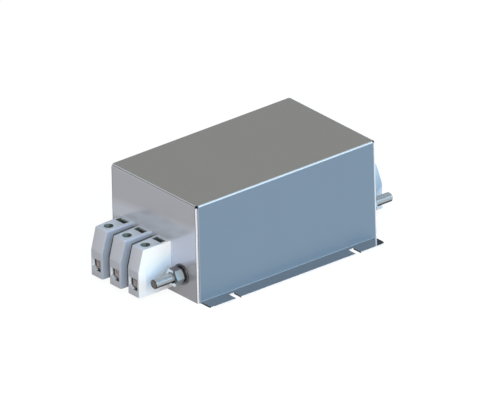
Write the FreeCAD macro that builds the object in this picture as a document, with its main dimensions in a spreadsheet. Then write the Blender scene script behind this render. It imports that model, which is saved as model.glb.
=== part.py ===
import FreeCAD, Part

import os
import re

import Sketcher

# Three-pole line filter for a machine's supply: a folded sheet steel box with
# fixing flanges, three screw terminals and a ground stud at each end, and the
# bars, chokes, board and capacitors inside.
# The origin is the centre of the underside. X runs from the line end to the
# load end, Y across the box and Z up. All sizes are in millimetres.

SIZES = {
    # Folded housing
    "case_length": 230.0,
    "case_width": 135.5,
    "case_height": 107.3,
    "sheet": 1.6,
    "return_width": 10.0,
    "relief_radius": 1.3,
    "flange_reach": 16.5,
    "flange_corner": 4.8,
    "flange_bend": 0.5,
    "slot_inset": 35.1,
    "slot_width": 6.5,
    "slot_web": 4.7,
    "fit_gap": 0.3,
    # Base plate and the brackets that hold it
    "plate_thickness": 2.0,
    "bracket_sheet": 1.5,
    "bracket_side_gap": 6.15,
    "bracket_stud_gap": 1.7,
    "base_screw_radius": 1.5,
    "base_screw_head": 3.0,
    "base_screw_pitch": 40.0,
    # Terminal blocks
    "far_pole_inset": 24.85,
    "stud_spacing": 27.4,
    "block_bottom": 4.2,
    "block_top": 55.0,
    "block_left": 9.7,
    "block_right": 10.7,
    "top_reach": 34.4,
    "nose_reach": 41.1,
    "knee_height": 32.0,
    "left_draft": 2.4,
    "right_draft": 0.8,
    "block_round": 2.5,
    "cover_thickness": 2.0,
    "driver_radius": 5.0,
    "pocket_near": 3.0,
    "pocket_far": 10.0,
    "pocket_half": 6.7,
    "pocket_depth": 12.0,
    "cavity_floor": 10.7,
    "cavity_ceiling": 37.0,
    "nose_wall": 3.0,
    "window_left": 4.9,
    "window_right": 7.1,
    "window_low": 13.5,
    "window_high": 23.5,
    # Clamps, bars and their insulating inserts
    "bar_width": 10.0,
    "bar_thickness": 4.0,
    "bar_height": 24.5,
    "bar_inset": 2.5,
    "bar_gap": 0.2,
    "cage_rear_gap": 9.5,
    "cage_front_gap": 2.6,
    "cage_wall": 1.0,
    "cage_floor": 1.5,
    "cage_top": 5.5,
    "screw_radius": 4.0,
    "screw_length": 17.5,
    "key_radius": 2.2,
    "key_depth": 4.0,
    "insert_flange": 3.0,
    "plug_wall": 4.0,
    "lock_thickness": 4.0,
    "lock_margin": 5.0,
    "lock_gap": 1.25,
    # Ground studs
    "stud_inset": 25.25,
    "stud_height": 24.7,
    "stud_radius": 5.0,
    "thread_depth": 0.4,
    "stud_reach": 36.7,
    "hole_gap": 0.25,
    "collar_radius": 9.0,
    "collar_thickness": 3.0,
    "washer_radius": 11.0,
    "washer_thickness": 2.0,
    "spring_radius": 9.0,
    "spring_thickness": 2.2,
    "spring_split": 1.5,
    "nut_flats": 17.0,
    "nut_height": 9.4,
    # Choke cores and what carries them
    "core_length": 24.0,
    "core_spacing": 2.0,
    "core_wall": 8.0,
    "core_side_gap": 1.65,
    "carrier_margin": 7.0,
    "carrier_half_height": 9.5,
    "carrier_overhang": 2.0,
    "strap_sheet": 1.0,
    "strap_width": 12.0,
    # Circuit board and what it carries
    "board_overhang": 17.0,
    "board_side_gap": 6.15,
    "board_height": 56.0,
    "board_thickness": 1.6,
    "standoff_radius": 3.5,
    "standoff_core_gap": 3.5,
    "standoff_inset": 6.0,
    "board_screw_radius": 1.5,
    "board_screw_head": 2.9,
    "board_screw_depth": 8.0,
    "part_gap": 2.1,
    "film_length": 57.0,
    "film_gap": 4.0,
    "film_headroom": 8.1,
    "film_round": 2.0,
    "ceramic_gap": 13.0,
    "ceramic_length": 26.0,
    "ceramic_width": 14.0,
    "ceramic_tall": 24.0,
    "resistor_gap": 8.0,
    "resistor_length": 16.0,
    "resistor_radius": 2.5,
    "link_sheet": 2.0,
    "link_foot": 14.0,
    "link_screw_radius": 2.0,
    "link_head_radius": 3.6,
    "link_head_tall": 2.4,
    "ground_link_foot": 9.0,
}

LINE_END = -1
LOAD_END = 1
ENDS = {"line": LINE_END, "load": LOAD_END}
AXES = {
    "X": FreeCAD.Vector(1, 0, 0),
    "Y": FreeCAD.Vector(0, 1, 0),
    "Z": FreeCAD.Vector(0, 0, 1),
}

# Places that several pieces share, worked out from the sizes
END_FACE = "case_length / 2"
END_INSIDE = "(case_length / 2 - sheet)"
SIDE_INSIDE = "(case_width / 2 - sheet)"
TOP_INSIDE = "(case_height - sheet)"
RETURN_EDGE = f"({SIDE_INSIDE} - return_width)"
FLANGE_END = "(case_length / 2 - 2 * sheet)"
FLANGE_EDGE = "(case_width / 2 + flange_reach)"
SLOT_PLACE = f"({FLANGE_END} - slot_inset)"

# The poles share the width that the stud and the two edges leave
POLE_PITCH = "(case_width - far_pole_inset - stud_spacing - stud_inset) / 2"
STUD_PLACE = "(stud_inset - case_width / 2)"
BRACKET_LEG = "(stud_height - collar_radius - bracket_stud_gap - plate_thickness)"
BRACKET_TOP = f"({BRACKET_LEG} + plate_thickness)"
BRACKET_HALF = f"({RETURN_EDGE} - bracket_side_gap)"

BAR_TOP = "(bar_height + bar_thickness)"
BAR_MIDDLE = "(bar_height + bar_thickness / 2)"
CAVITY_HALF = "(bar_width / 2 + bar_gap + cage_wall + bar_gap)"
CAVITY_DEPTH = "(nose_reach - nose_wall)"
CAGE_REAR = "(insert_flange + cage_rear_gap)"
CAGE_FRONT = f"({CAVITY_DEPTH} - cage_front_gap)"
DRIVER_OUT = f"(({CAGE_REAR} + {CAGE_FRONT}) / 2)"
BAR_REACH = f"({CAGE_FRONT} - bar_inset)"
NUT_NEAR = "(washer_thickness + spring_thickness)"
NUT_FAR = f"({NUT_NEAR} + nut_height)"
ENGAGED_RADIUS = "(stud_radius - thread_depth)"

CORE_COUNT = 4
CORES_HALF = f"(({CORE_COUNT} * core_length + {CORE_COUNT - 1} * core_spacing) / 2)"
CARRIER_LOW = f"(case_width / 2 - far_pole_inset - 2 * {POLE_PITCH} - bar_width / 2 - carrier_margin)"
CARRIER_HIGH = f"({SIDE_INSIDE} - core_side_gap - strap_sheet - 2 * fit_gap - core_wall)"
CORE_BOTTOM = f"({BAR_MIDDLE} - carrier_half_height - fit_gap - core_wall)"

STANDOFF_X = f"({CORES_HALF} + standoff_core_gap + standoff_radius)"
BOARD_HALF_LENGTH = f"({STANDOFF_X} + board_overhang)"
BOARD_HALF_WIDTH = f"({SIDE_INSIDE} - board_side_gap)"
STANDOFF_Y = f"({BOARD_HALF_WIDTH} - standoff_inset)"
BOARD_TOP = "(board_height + board_thickness)"
LINK_OUTER = f"({BOARD_HALF_LENGTH} + fit_gap + link_sheet)"
LINK_SCREW_PLACE = f"({LINK_OUTER} - link_foot / 2 - link_sheet / 2)"

# The rows of parts on the board lie between the heads of its screws
PARTS_HALF = f"({STANDOFF_Y} - board_screw_head - part_gap)"
FILM_WIDTH = f"((2 * {PARTS_HALF} - 2 * film_gap) / 3)"
PART_PITCH = f"({FILM_WIDTH} + film_gap)"
FILM_TALL = f"({TOP_INSIDE} - film_headroom - {BOARD_TOP})"
FILM_START = f"(ground_link_foot + part_gap - {LINK_OUTER})"
CERAMIC_START = f"({FILM_START} + film_length + ceramic_gap)"
RESISTOR_START = f"({CERAMIC_START} + ceramic_length + resistor_gap)"

doc = FreeCAD.newDocument("line_filter")
sheet = doc.addObject("Spreadsheet::Sheet", "Sizes")
for row, (alias, value) in enumerate(SIZES.items(), start=1):
    sheet.set(f"A{row}", alias)
    sheet.set(f"B{row}", str(value))
    sheet.setAlias(f"B{row}", alias)
doc.recompute()

nodes = {}


def bind(text):
    """Turn a formula of size names into one that reads the spreadsheet."""
    return re.sub(r"[a-z_]+", lambda word: "Sizes." + word[0] if word[0] in SIZES else word[0], text)


def value_of(text):
    """Work out a formula of size names with the present sizes."""
    return float(sheet.evalExpression(text))


def node(name, piece):
    """Register a finished piece under the name of its file."""
    piece.Label = name
    nodes[name] = piece
    return piece


# Solids from primitives, with each face placed by a formula


def box(name, x, y, z):
    """Block between two faces on each axis."""
    piece = doc.addObject("Part::Box", name)
    for (low, high), length, axis in zip((x, y, z), ("Length", "Width", "Height"), "xyz"):
        piece.setExpression(length, bind(f"({high}) - ({low})"))
        piece.setExpression(f"Placement.Base.{axis}", bind(low))
    return piece


def rod(name, axis, centre, radius, span):
    """Round bar along one axis; centre gives the other two coordinates."""
    piece = doc.addObject("Part::Cylinder", name)
    piece.Placement.Rotation = FreeCAD.Rotation(AXES["Z"], AXES[axis])
    piece.setExpression("Radius", bind(radius))
    piece.setExpression("Height", bind(f"({span[1]}) - ({span[0]})"))
    others = [letter for letter in "xyz" if letter != axis.lower()]
    for letter, place in zip(others, centre):
        piece.setExpression(f"Placement.Base.{letter}", bind(place))
    piece.setExpression(f"Placement.Base.{axis.lower()}", bind(span[0]))
    return piece


def fuse(name, *pieces):
    """Join pieces into one solid."""
    joined = doc.addObject("Part::MultiFuse", name)
    joined.Shapes = list(pieces)
    joined.Refine = True
    return joined


def common(name, first, second):
    """Keep what two pieces share."""
    shared = doc.addObject("Part::MultiCommon", name)
    shared.Shapes = [first, second]
    shared.Refine = True
    return shared


def cut(name, base, *tools):
    """Take the tools away from the base."""
    result = doc.addObject("Part::Cut", name)
    result.Base = base
    result.Tool = tools[0] if len(tools) == 1 else fuse(name + "_tools", *tools)
    result.Refine = True
    return result


def group(name, *pieces):
    """Keep like pieces together as separate solids."""
    together = doc.addObject("Part::Compound", name)
    together.Links = list(pieces)
    return together


def rounded_block(name, axis, x, y, z, radius):
    """Block whose four edges along one axis are rounded."""
    spans = {"X": x, "Y": y, "Z": z}
    across = [letter for letter in "XYZ" if letter != axis]
    shrunk = {letter: (f"{low} + {radius}", f"{high} - {radius}") for letter, (low, high) in spans.items()}
    pieces = []
    for letter in across:
        sides = dict(spans)
        sides[letter] = shrunk[letter]
        pieces.append(box(f"{name}_{letter}", sides["X"], sides["Y"], sides["Z"]))
    for first in shrunk[across[0]]:
        for second in shrunk[across[1]]:
            pieces.append(rod(f"{name}_corner", axis, (first, second), radius, spans[axis]))
    return fuse(name, *pieces)


def racetrack(name, x, y, z):
    """Block along X whose two ends across Y are full half rounds."""
    radius = f"(({z[1]}) - ({z[0]})) / 2"
    middle = f"(({z[1]}) + ({z[0]})) / 2"
    flat = (f"{y[0]} + {radius}", f"{y[1]} - {radius}")
    pieces = [box(f"{name}_flat", x, flat, z)]
    for place in flat:
        pieces.append(rod(f"{name}_round", "X", (place, middle), radius, x))
    return fuse(name, *pieces)


# Bodies from sketches


def new_sketch(body, name, role, offset):
    """Sketch on one of the body's own planes, moved along the plane's normal."""
    plane = next(item for item in body.Origin.OriginFeatures if item.Role == role)
    sketch = body.newObject("Sketcher::SketchObject", name)
    sketch.AttachmentSupport = [(plane, "")]
    sketch.MapMode = "FlatFace"
    sketch.setExpression("AttachmentOffset.Base.z", bind(offset))
    return sketch


def pin_point(sketch, edge, end, place):
    """Hold one end of a sketch edge at a place given by two formulas."""
    for kind, text in zip(("DistanceX", "DistanceY"), place):
        rule = sketch.addConstraint(Sketcher.Constraint(kind, -1, 1, edge, end, value_of(text)))
        sketch.setExpression(f"Constraints[{rule}]", bind(text))


def draw_polygon(sketch, points):
    """Closed outline of straight edges through points given as formulas."""
    corners = [FreeCAD.Vector(value_of(x), value_of(y), 0) for x, y in points]
    edges = []
    for start, end in zip(corners, corners[1:] + corners[:1]):
        edges.append(sketch.addGeometry(Part.LineSegment(start, end), False))
    for edge, following in zip(edges, edges[1:] + edges[:1]):
        sketch.addConstraint(Sketcher.Constraint("Coincident", edge, 2, following, 1))
    for edge, place in zip(edges, points):
        pin_point(sketch, edge, 1, place)


def draw_rectangle(sketch, x, y):
    """Closed rectangle between two formulas on each axis."""
    draw_polygon(sketch, [(x[0], y[0]), (x[1], y[0]), (x[1], y[1]), (x[0], y[1])])


def draw_circle(sketch, centre, radius):
    """Circle whose centre and radius are formulas."""
    middle = FreeCAD.Vector(value_of(centre[0]), value_of(centre[1]), 0)
    edge = sketch.addGeometry(Part.Circle(middle, AXES["Z"], value_of(radius)), False)
    pin_point(sketch, edge, 3, centre)
    rule = sketch.addConstraint(Sketcher.Constraint("Radius", edge, value_of(radius)))
    sketch.setExpression(f"Constraints[{rule}]", bind(radius))


def pad(body, sketch, length):
    """Raise a sketch along its plane's normal."""
    feature = body.newObject("PartDesign::Pad", sketch.Name + "_pad")
    feature.Profile = sketch
    feature.setExpression("Length", bind(length))
    return feature


def pocket(body, sketch, length, along_normal=False):
    """Sink a sketch into the body and check that it cuts."""
    doc.recompute()
    before = body.Shape.Volume
    feature = body.newObject("PartDesign::Pocket", sketch.Name + "_pocket")
    feature.Profile = sketch
    feature.Reversed = along_normal
    feature.setExpression("Length", bind(length))
    doc.recompute()
    if body.Shape.Volume >= before:
        raise RuntimeError(f"{feature.Name} cuts nothing")
    return feature


def round_edges(body, radius, wanted):
    """Round the edges of the body's last feature that a test picks."""
    doc.recompute()
    base = body.Tip
    names = [f"Edge{i}" for i, edge in enumerate(base.Shape.Edges, start=1) if wanted(edge)]
    feature = body.newObject("PartDesign::Fillet", body.Name + "_round")
    feature.Base = (base, names)
    feature.setExpression("Radius", bind(radius))
    return feature


def out_at(side, distance):
    """Row X of a distance outward from one end face."""
    return f"{side} * (case_length / 2 + {distance})"


def out_span(side, near, far):
    """Rising pair of X places between two distances outward."""
    pair = (out_at(side, near), out_at(side, far))
    return pair if side == LOAD_END else pair[::-1]


def around(centre, half):
    """Span of a half width on both sides of a centre."""
    return (f"{centre} - {half}", f"{centre} + {half}")


def pole_place(pole):
    """Y of a pole: 1 is the far one, 3 the one beside the ground stud."""
    return f"(case_width / 2 - far_pole_inset - {pole - 1} * {POLE_PITCH})"


# Housing


def make_housing():
    """One folded sheet: top, long sides with flanges, end flaps and returns."""
    length = (f"-{END_INSIDE}", END_INSIDE)
    width = ("-case_width / 2", "case_width / 2")
    height = ("0", "case_height")
    upright = rounded_block("wrap_upright", "Z", length, width, height, "sheet")
    lying = rounded_block("wrap_lying", "X", length, width, ("-case_height", "case_height"), "sheet")
    wrap = common("wrap", upright, lying)

    flap_width = around("0", f"{SIDE_INSIDE}")
    flaps = rounded_block(
        "flaps", "Y", (f"-{END_FACE}", END_FACE), flap_width, ("-case_height", "case_height"), "sheet"
    )
    above = box("above_floor", (f"-{END_FACE}", END_FACE), width, height)
    outside = fuse("outside", wrap, common("flaps_above", flaps, above))

    inside = box("inside", (f"-{FLANGE_END}", FLANGE_END), around("0", SIDE_INSIDE), ("-1", TOP_INSIDE))
    between = box(
        "between_returns",
        length,
        around("0", RETURN_EDGE),
        ("-1", TOP_INSIDE),
    )
    shell = cut("shell", outside, inside, between)

    parts = [shell]
    for index, hand in enumerate((-1, 1)):
        parts.append(make_flange(f"flange_{index}", hand))
    folded = fuse("folded", *parts)

    tools = []
    for side in (LINE_END, LOAD_END):
        tools += flap_openings(side)
        for hand in (-1, 1):
            tools += [flange_slot(side, hand), corner_relief(side, hand)]
    return node("housing", cut("housing", folded, *tools))


def make_flange(name, hand):
    """Flange bent outward at the foot of one long side."""
    edge = sorted_pair(hand, "(case_width / 2 - sheet)", FLANGE_EDGE)
    wide = rounded_block(
        name, "Z", (f"-{FLANGE_END}", FLANGE_END), edge, ("0", "sheet"), "flange_corner"
    )
    inner = sorted_pair(hand, "(case_width / 2 - sheet)", "(case_width / 2 + flange_corner)")
    root = box(name + "_root", (f"-{FLANGE_END}", FLANGE_END), inner, ("0", "sheet"))
    bend = sorted_pair(hand, "(case_width / 2 - sheet / 2)", "(case_width / 2 + flange_bend)")
    fill = box(name + "_fill", (f"-{FLANGE_END}", FLANGE_END), bend, ("sheet / 2", "sheet + flange_bend"))
    hollow = rod(
        name + "_hollow",
        "X",
        (f"{hand} * (case_width / 2 + flange_bend)", "sheet + flange_bend"),
        "flange_bend",
        (f"-{FLANGE_END}", FLANGE_END),
    )
    return fuse(name + "_bent", wide, root, cut(name + "_bend", fill, hollow))


def sorted_pair(hand, near, far):
    """Rising pair of Y places for two distances from the middle plane."""
    pair = (f"{hand} * {near}", f"{hand} * {far}")
    return pair if hand > 0 else pair[::-1]


def flange_slot(side, hand):
    """Fixing slot, open at the flange's outer edge."""
    centre = f"{side} * {SLOT_PLACE}"
    reach = sorted_pair(hand, "(case_width / 2 + slot_web)", f"({FLANGE_EDGE} + flange_corner)")
    return rounded_block(
        "slot", "Z", around(centre, "slot_width / 2"), reach, ("-1", "2 * sheet"), "slot_width / 4"
    )


def corner_relief(side, hand):
    """Small hole where the folds of one top corner meet."""
    ball = doc.addObject("Part::Sphere", "relief")
    ball.setExpression("Radius", bind("relief_radius"))
    ball.setExpression("Placement.Base.x", bind(f"{side} * (case_length / 2 - 0.6 * sheet)"))
    ball.setExpression("Placement.Base.y", bind(f"{hand} * (case_width / 2 - 0.6 * sheet)"))
    ball.setExpression("Placement.Base.z", bind("case_height - 0.6 * sheet"))
    return ball


def plug_spans(pole, gap):
    """Y and Z spans of the insert's plug around its bar, widened by a gap."""
    across = around(pole_place(pole), f"(bar_width / 2 + plug_wall / 2 + {gap})")
    up = around(BAR_MIDDLE, f"(bar_thickness / 2 + plug_wall + {gap})")
    return across, up


def flap_openings(side):
    """Cut-outs of one end flap: three for the bar inserts, one for the stud."""
    through = out_span(side, "-2 * sheet", "sheet")
    tools = [box("flap_cut", through, *plug_spans(pole, "bar_gap")) for pole in (1, 2, 3)]
    tools.append(rod("stud_hole", "X", (STUD_PLACE, "stud_height"), "(stud_radius + hole_gap)", through))
    return tools


# Base plate, its brackets and its screws


def screw_places():
    """X and Y of each countersunk screw in the base plate."""
    for side in (LINE_END, LOAD_END):
        for step in (-1, 0, 1):
            yield f"{side} * ({END_INSIDE} - {BRACKET_LEG} / 2)", f"{step} * base_screw_pitch"


def cone(name, x, y, wide, narrow, span):
    """Cone along Z from a wide low end to a narrow high end."""
    piece = doc.addObject("Part::Cone", name)
    piece.setExpression("Radius1", bind(wide))
    piece.setExpression("Radius2", bind(narrow))
    piece.setExpression("Height", bind(f"{span[1]} - ({span[0]})"))
    for letter, place in zip("xyz", (x, y, span[0])):
        piece.setExpression(f"Placement.Base.{letter}", bind(place))
    return piece


def make_base_plate():
    """Flat plate that closes the box from below, with countersunk holes."""
    half_length = f"({FLANGE_END} - fit_gap)"
    half_width = f"({SIDE_INSIDE} - fit_gap)"
    plate = box("plate", around("0", half_length), around("0", half_width), ("0", "plate_thickness"))
    tools = []
    for x, y in screw_places():
        tools.append(rod("plate_hole", "Z", (x, y), "(base_screw_radius + 0.1)", ("-1", "plate_thickness + 1")))
        tools.append(
            cone("sink", x, y, "(base_screw_head + 0.1)", "(base_screw_radius + 0.1)", ("0", "base_screw_radius"))
        )
    return node("base_plate", cut("base_plate", plate, *tools))


def make_base_screws():
    """Countersunk screws up through the plate into the brackets."""
    screws = []
    for x, y in screw_places():
        head = cone("head", x, y, "base_screw_head", "base_screw_radius", ("0", "base_screw_radius"))
        shank = rod("shank", "Z", (x, y), "base_screw_radius", ("0", "plate_thickness + 2 * bracket_sheet"))
        screw = fuse("countersunk_screw", head, shank)
        drive = box(
            "drive",
            around(x, "base_screw_head / 2"),
            around(y, "base_screw_radius / 5"),
            ("-1", "base_screw_radius / 2"),
        )
        screws.append(cut("base_screw", screw, drive))
    return node("base_screws", group("base_screws", *screws))


def make_bracket(name, side):
    """Angle welded inside an end flap, tapped for the plate's screws."""
    foot = out_span(side, f"-sheet - {BRACKET_LEG}", "-sheet")
    wall = out_span(side, "-sheet - bracket_sheet", "-sheet")
    across = around("0", BRACKET_HALF)
    angle = fuse(
        name + "_angle",
        box(name + "_foot", foot, across, ("plate_thickness", "plate_thickness + bracket_sheet")),
        box(name + "_wall", wall, across, ("plate_thickness", BRACKET_TOP)),
    )
    tools = []
    for x, y in screw_places():
        if x.startswith(f"{side} *"):
            tools.append(rod("tapped", "Z", (x, y), "base_screw_radius", ("0", BRACKET_TOP)))
    return node(name, cut(name, angle, *tools))


# Terminal blocks


def block_sketch(body, side, y_high):
    """Side view of a terminal block, on its far side."""
    sketch = new_sketch(body, body.Name + "_side", "XZ_Plane", f"-({y_high})")
    places = [
        ("0", "block_bottom"),
        ("0", "block_top"),
        ("top_reach", "block_top"),
        ("nose_reach", "knee_height"),
        ("nose_reach", "block_bottom"),
    ]
    draw_polygon(sketch, [(out_at(side, out), up) for out, up in places])
    return sketch


def take_draft(body, side, y_edge, draft):
    """Narrow one side of a block towards its nose; draft is signed inward."""
    sketch = new_sketch(body, body.Name + "_draft", "XY_Plane", "block_top")
    nose = out_at(side, "nose_reach")
    points = [(out_at(side, "0"), y_edge), (nose, y_edge), (nose, f"{y_edge} + {draft}")]
    draw_polygon(sketch, points)
    pocket(body, sketch, "block_top - block_bottom")


def is_crease(edge):
    """Tell if an edge crosses the front of a block, at its top or its knee."""
    box_of_edge = edge.BoundBox
    high = box_of_edge.ZMin > value_of("block_bottom") + 1
    level = box_of_edge.ZLength < 0.01
    front = abs(edge.CenterOfMass.x) > value_of("case_length / 2 + top_reach - 1")
    return high and level and front


def is_on_right(edge, y_edge, depth):
    """Tell if an edge lies along the outline of a block's right side."""
    box_of_edge = edge.BoundBox
    inside = box_of_edge.YMax < y_edge + depth
    high = box_of_edge.ZMax > value_of("block_bottom") + 1
    away = box_of_edge.XLength > 0.01 or abs(edge.CenterOfMass.x) > value_of("case_length / 2 + 1")
    return inside and high and away


def make_block(name, side, pole):
    """Moulded terminal block, hollow from the rear for its clamp."""
    centre = pole_place(pole)
    left = f"{centre} + block_left"
    right = f"{centre} - block_right" if pole < 3 else f"{centre} - block_right + cover_thickness"
    body = doc.addObject("PartDesign::Body", name)
    pad(body, block_sketch(body, side, left), f"({left}) - ({right})")
    take_draft(body, side, left, "-left_draft")
    if pole < 3:
        take_draft(body, side, right, "right_draft")
        low = value_of(right)
        depth = value_of("right_draft") + 0.01
        round_edges(body, "block_round", lambda edge: is_crease(edge) or is_on_right(edge, low, depth))
    else:
        round_edges(body, "block_round", is_crease)

    driver = new_sketch(body, name + "_driver", "XY_Plane", "block_top")
    draw_circle(driver, (out_at(side, DRIVER_OUT), centre), "driver_radius")
    pocket(body, driver, "block_top - cavity_ceiling")

    mark = new_sketch(body, name + "_mark", "XY_Plane", "block_top")
    draw_rectangle(mark, out_span(side, "pocket_near", "pocket_far"), around(centre, "pocket_half"))
    pocket(body, mark, "pocket_depth")

    cavity = new_sketch(body, name + "_cavity", "YZ_Plane", out_at(side, "0"))
    draw_rectangle(cavity, around(centre, CAVITY_HALF), ("cavity_floor", "cavity_ceiling"))
    pocket(body, cavity, CAVITY_DEPTH, along_normal=side == LOAD_END)

    window = new_sketch(body, name + "_window", "YZ_Plane", out_at(side, "nose_reach"))
    across = (f"{centre} - window_right", f"{centre} + window_left")
    draw_rectangle(window, across, ("window_low", "window_high"))
    pocket(body, window, "nose_wall + 1", along_normal=side == LINE_END)
    return node(name, body)


def make_end_cover(name, side):
    """Flat plate that closes the side of the block nearest the ground stud."""
    centre = pole_place(3)
    low = f"{centre} - block_right"
    body = doc.addObject("PartDesign::Body", name)
    pad(body, block_sketch(body, side, f"{low} + cover_thickness"), "cover_thickness")
    take_draft(body, side, low, "right_draft")
    round_edges(body, "block_round", is_crease)
    return node(name, body)


def make_insert(name, side, pole):
    """Insulating insert: a flange inside the block and a plug through the flap."""
    centre = pole_place(pole)
    flange = box(
        name + "_flange",
        out_span(side, "0", "insert_flange"),
        around(centre, f"({CAVITY_HALF} - bar_gap)"),
        ("cavity_floor", "cavity_ceiling - fit_gap"),
    )
    plug = box(
        name + "_plug",
        out_span(side, "-sheet - lock_thickness - 1", "0"),
        *plug_spans(pole, "0"),
    )
    slot = box(
        name + "_slot",
        out_span(side, "-sheet - lock_thickness - 2", "insert_flange + 1"),
        around(centre, "(bar_width / 2 + bar_gap)"),
        around(BAR_MIDDLE, "(bar_thickness / 2 + bar_gap)"),
    )
    return node(name, cut(name, fuse(name + "_form", flange, plug), slot))


def make_lock_plate(name, side):
    """Plate behind the end flap that holds the three inserts."""
    low = f"{pole_place(3)} - bar_width / 2 - plug_wall / 2 - lock_margin"
    plate = box(
        name + "_form",
        out_span(side, "-sheet - lock_thickness", "-sheet"),
        (low, f"{RETURN_EDGE} - lock_gap"),
        (f"{BRACKET_TOP} + lock_gap", f"{BAR_TOP} + plug_wall + lock_margin"),
    )
    through = out_span(side, "-sheet - lock_thickness - 1", "-sheet + 1")
    tools = [box(name + "_cut", through, *plug_spans(pole, "bar_gap")) for pole in (1, 2, 3)]
    return node(name, cut(name, plate, *tools))


def make_cage(name, side, pole):
    """Clamp cage around the bar, with the wire's space under the bar."""
    centre = pole_place(pole)
    length = out_span(side, CAGE_REAR, CAGE_FRONT)
    longer = out_span(side, f"{CAGE_REAR} - 1", f"{CAGE_FRONT} + 1")
    roof = "cavity_ceiling - fit_gap"
    block = box(
        name + "_form", length, around(centre, f"({CAVITY_HALF} - bar_gap)"), ("cavity_floor", roof)
    )
    space = box(
        name + "_space",
        longer,
        around(centre, "(bar_width / 2 + bar_gap)"),
        ("cavity_floor + cage_floor", f"{roof} - cage_top"),
    )
    thread = rod(
        name + "_thread",
        "Z",
        (out_at(side, DRIVER_OUT), centre),
        "screw_radius",
        (BAR_MIDDLE, "cavity_ceiling + 1"),
    )
    return node(name, cut(name, block, space, thread))


def make_clamp_screws():
    """Headless clamp screws that bear on the bars, with a key socket each."""
    screws = []
    top = f"({BAR_TOP} + screw_length)"
    for side in (LINE_END, LOAD_END):
        for pole in (1, 2, 3):
            place = (out_at(side, DRIVER_OUT), pole_place(pole))
            shank = rod("clamp_shank", "Z", place, "screw_radius", (BAR_TOP, top))
            key = rod("clamp_key", "Z", place, "key_radius", (f"{top} - key_depth", f"{top} + 1"))
            screws.append(cut("clamp_screw", shank, key))
    return node("clamp_screws", group("clamp_screws", *screws))


def make_bar(name, pole):
    """Copper bar from the line clamp to the load clamp of one pole."""
    centre = pole_place(pole)
    bar = box(
        name + "_form",
        (out_at(LINE_END, BAR_REACH), out_at(LOAD_END, BAR_REACH)),
        around(centre, "bar_width / 2"),
        ("bar_height", BAR_TOP),
    )
    hole = rod(
        name + "_hole", "Z", (LINK_SCREW_PLACE, centre), "link_screw_radius", ("bar_height - 1", f"{BAR_TOP} + 1")
    )
    return node(name, cut(name, bar, hole))


# Ground studs


def make_stud(name, side):
    """Ground stud with a collar welded behind the end flap.

    Its threads stand at their full radius past the nut, and meet the nut's on a smaller one.
    """
    centre = (STUD_PLACE, "stud_height")
    collar = rod(
        name + "_collar", "X", centre, "collar_radius", out_span(side, "-sheet - collar_thickness", "-sheet")
    )
    engaged = rod(name + "_engaged", "X", centre, ENGAGED_RADIUS, out_span(side, "-sheet", NUT_FAR))
    free = rod(name + "_free", "X", centre, "stud_radius", out_span(side, NUT_FAR, "stud_reach"))
    return node(name, fuse(name, collar, engaged, free))


def ring(name, side, radius, near, far):
    """Round disc on a stud, with the stud's hole."""
    centre = (STUD_PLACE, "stud_height")
    disc = rod(name + "_disc", "X", centre, radius, out_span(side, near, far))
    hole = rod(name + "_hole", "X", centre, "(stud_radius + hole_gap)", out_span(side, near + " - 1", far + " + 1"))
    return cut(name, disc, hole)


def make_washers():
    """Flat washers against the end flaps."""
    pieces = [ring("flat_washer", side, "washer_radius", "0", "washer_thickness") for side in ENDS.values()]
    return node("ground_washers", group("ground_washers", *pieces))


def make_spring_washers():
    """Split spring washers between the flat washers and the nuts."""
    pieces = []
    for side in ENDS.values():
        disc = ring("spring_ring", side, "spring_radius", "washer_thickness", NUT_NEAR)
        split = box(
            "spring_split",
            out_span(side, "washer_thickness - 1", f"{NUT_NEAR} + 1"),
            around(STUD_PLACE, "spring_split / 2"),
            ("stud_height", "stud_height + washer_radius"),
        )
        pieces.append(cut("spring_washer", disc, split))
    return node("ground_spring_washers", group("ground_spring_washers", *pieces))


def make_nuts():
    """Hexagon nuts with chamfered corners, flats at top and bottom."""
    pieces = []
    for side in ENDS.values():
        body = doc.addObject("PartDesign::Body", "nut")
        start = out_at(side, NUT_NEAR if side == LOAD_END else NUT_FAR)
        sketch = new_sketch(body, body.Name + "_hex", "YZ_Plane", start)
        half = "nut_flats / 2"
        corner = "nut_flats * 0.57735"
        places = [
            (corner, "0"),
            (f"{corner} / 2", half),
            (f"-{corner} / 2", half),
            (f"-{corner}", "0"),
            (f"-{corner} / 2", f"-{half}"),
            (f"{corner} / 2", f"-{half}"),
        ]
        draw_polygon(sketch, [(f"{STUD_PLACE} + ({y})", f"stud_height + ({z})") for y, z in places])
        pad(body, sketch, "nut_height")
        centre = (STUD_PLACE, "stud_height")
        envelope = rod("nut_turned", "X", centre, "nut_flats * 0.565", out_span(side, NUT_NEAR, NUT_FAR))
        turned = common("nut_form", body, envelope)
        hole = rod("nut_hole", "X", centre, ENGAGED_RADIUS, out_span(side, f"{NUT_NEAR} - 1", f"{NUT_FAR} + 1"))
        pieces.append(cut("ground_nut", turned, hole))
    return node("ground_nuts", group("ground_nuts", *pieces))


# Choke cores


def core_opening(grow):
    """Y and Z spans of the oval around the carrier, widened all round."""
    across = (f"{CARRIER_LOW} - ({grow})", f"{CARRIER_HIGH} + {grow}")
    up = (f"{BAR_MIDDLE} - carrier_half_height - ({grow})", f"{BAR_MIDDLE} + carrier_half_height + {grow}")
    return across, up


def make_core(name, index):
    """Oval magnetic core around the three bars."""
    start = f"(-{CORES_HALF} + {index} * (core_length + core_spacing))"
    span = (start, f"{start} + core_length")
    longer = (f"{start} - 1", f"{start} + core_length + 1")
    outer = racetrack(name + "_outer", span, *core_opening("(fit_gap + core_wall)"))
    inner = racetrack(name + "_inner", longer, *core_opening("fit_gap"))
    return node(name, cut(name, outer, inner))


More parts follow.
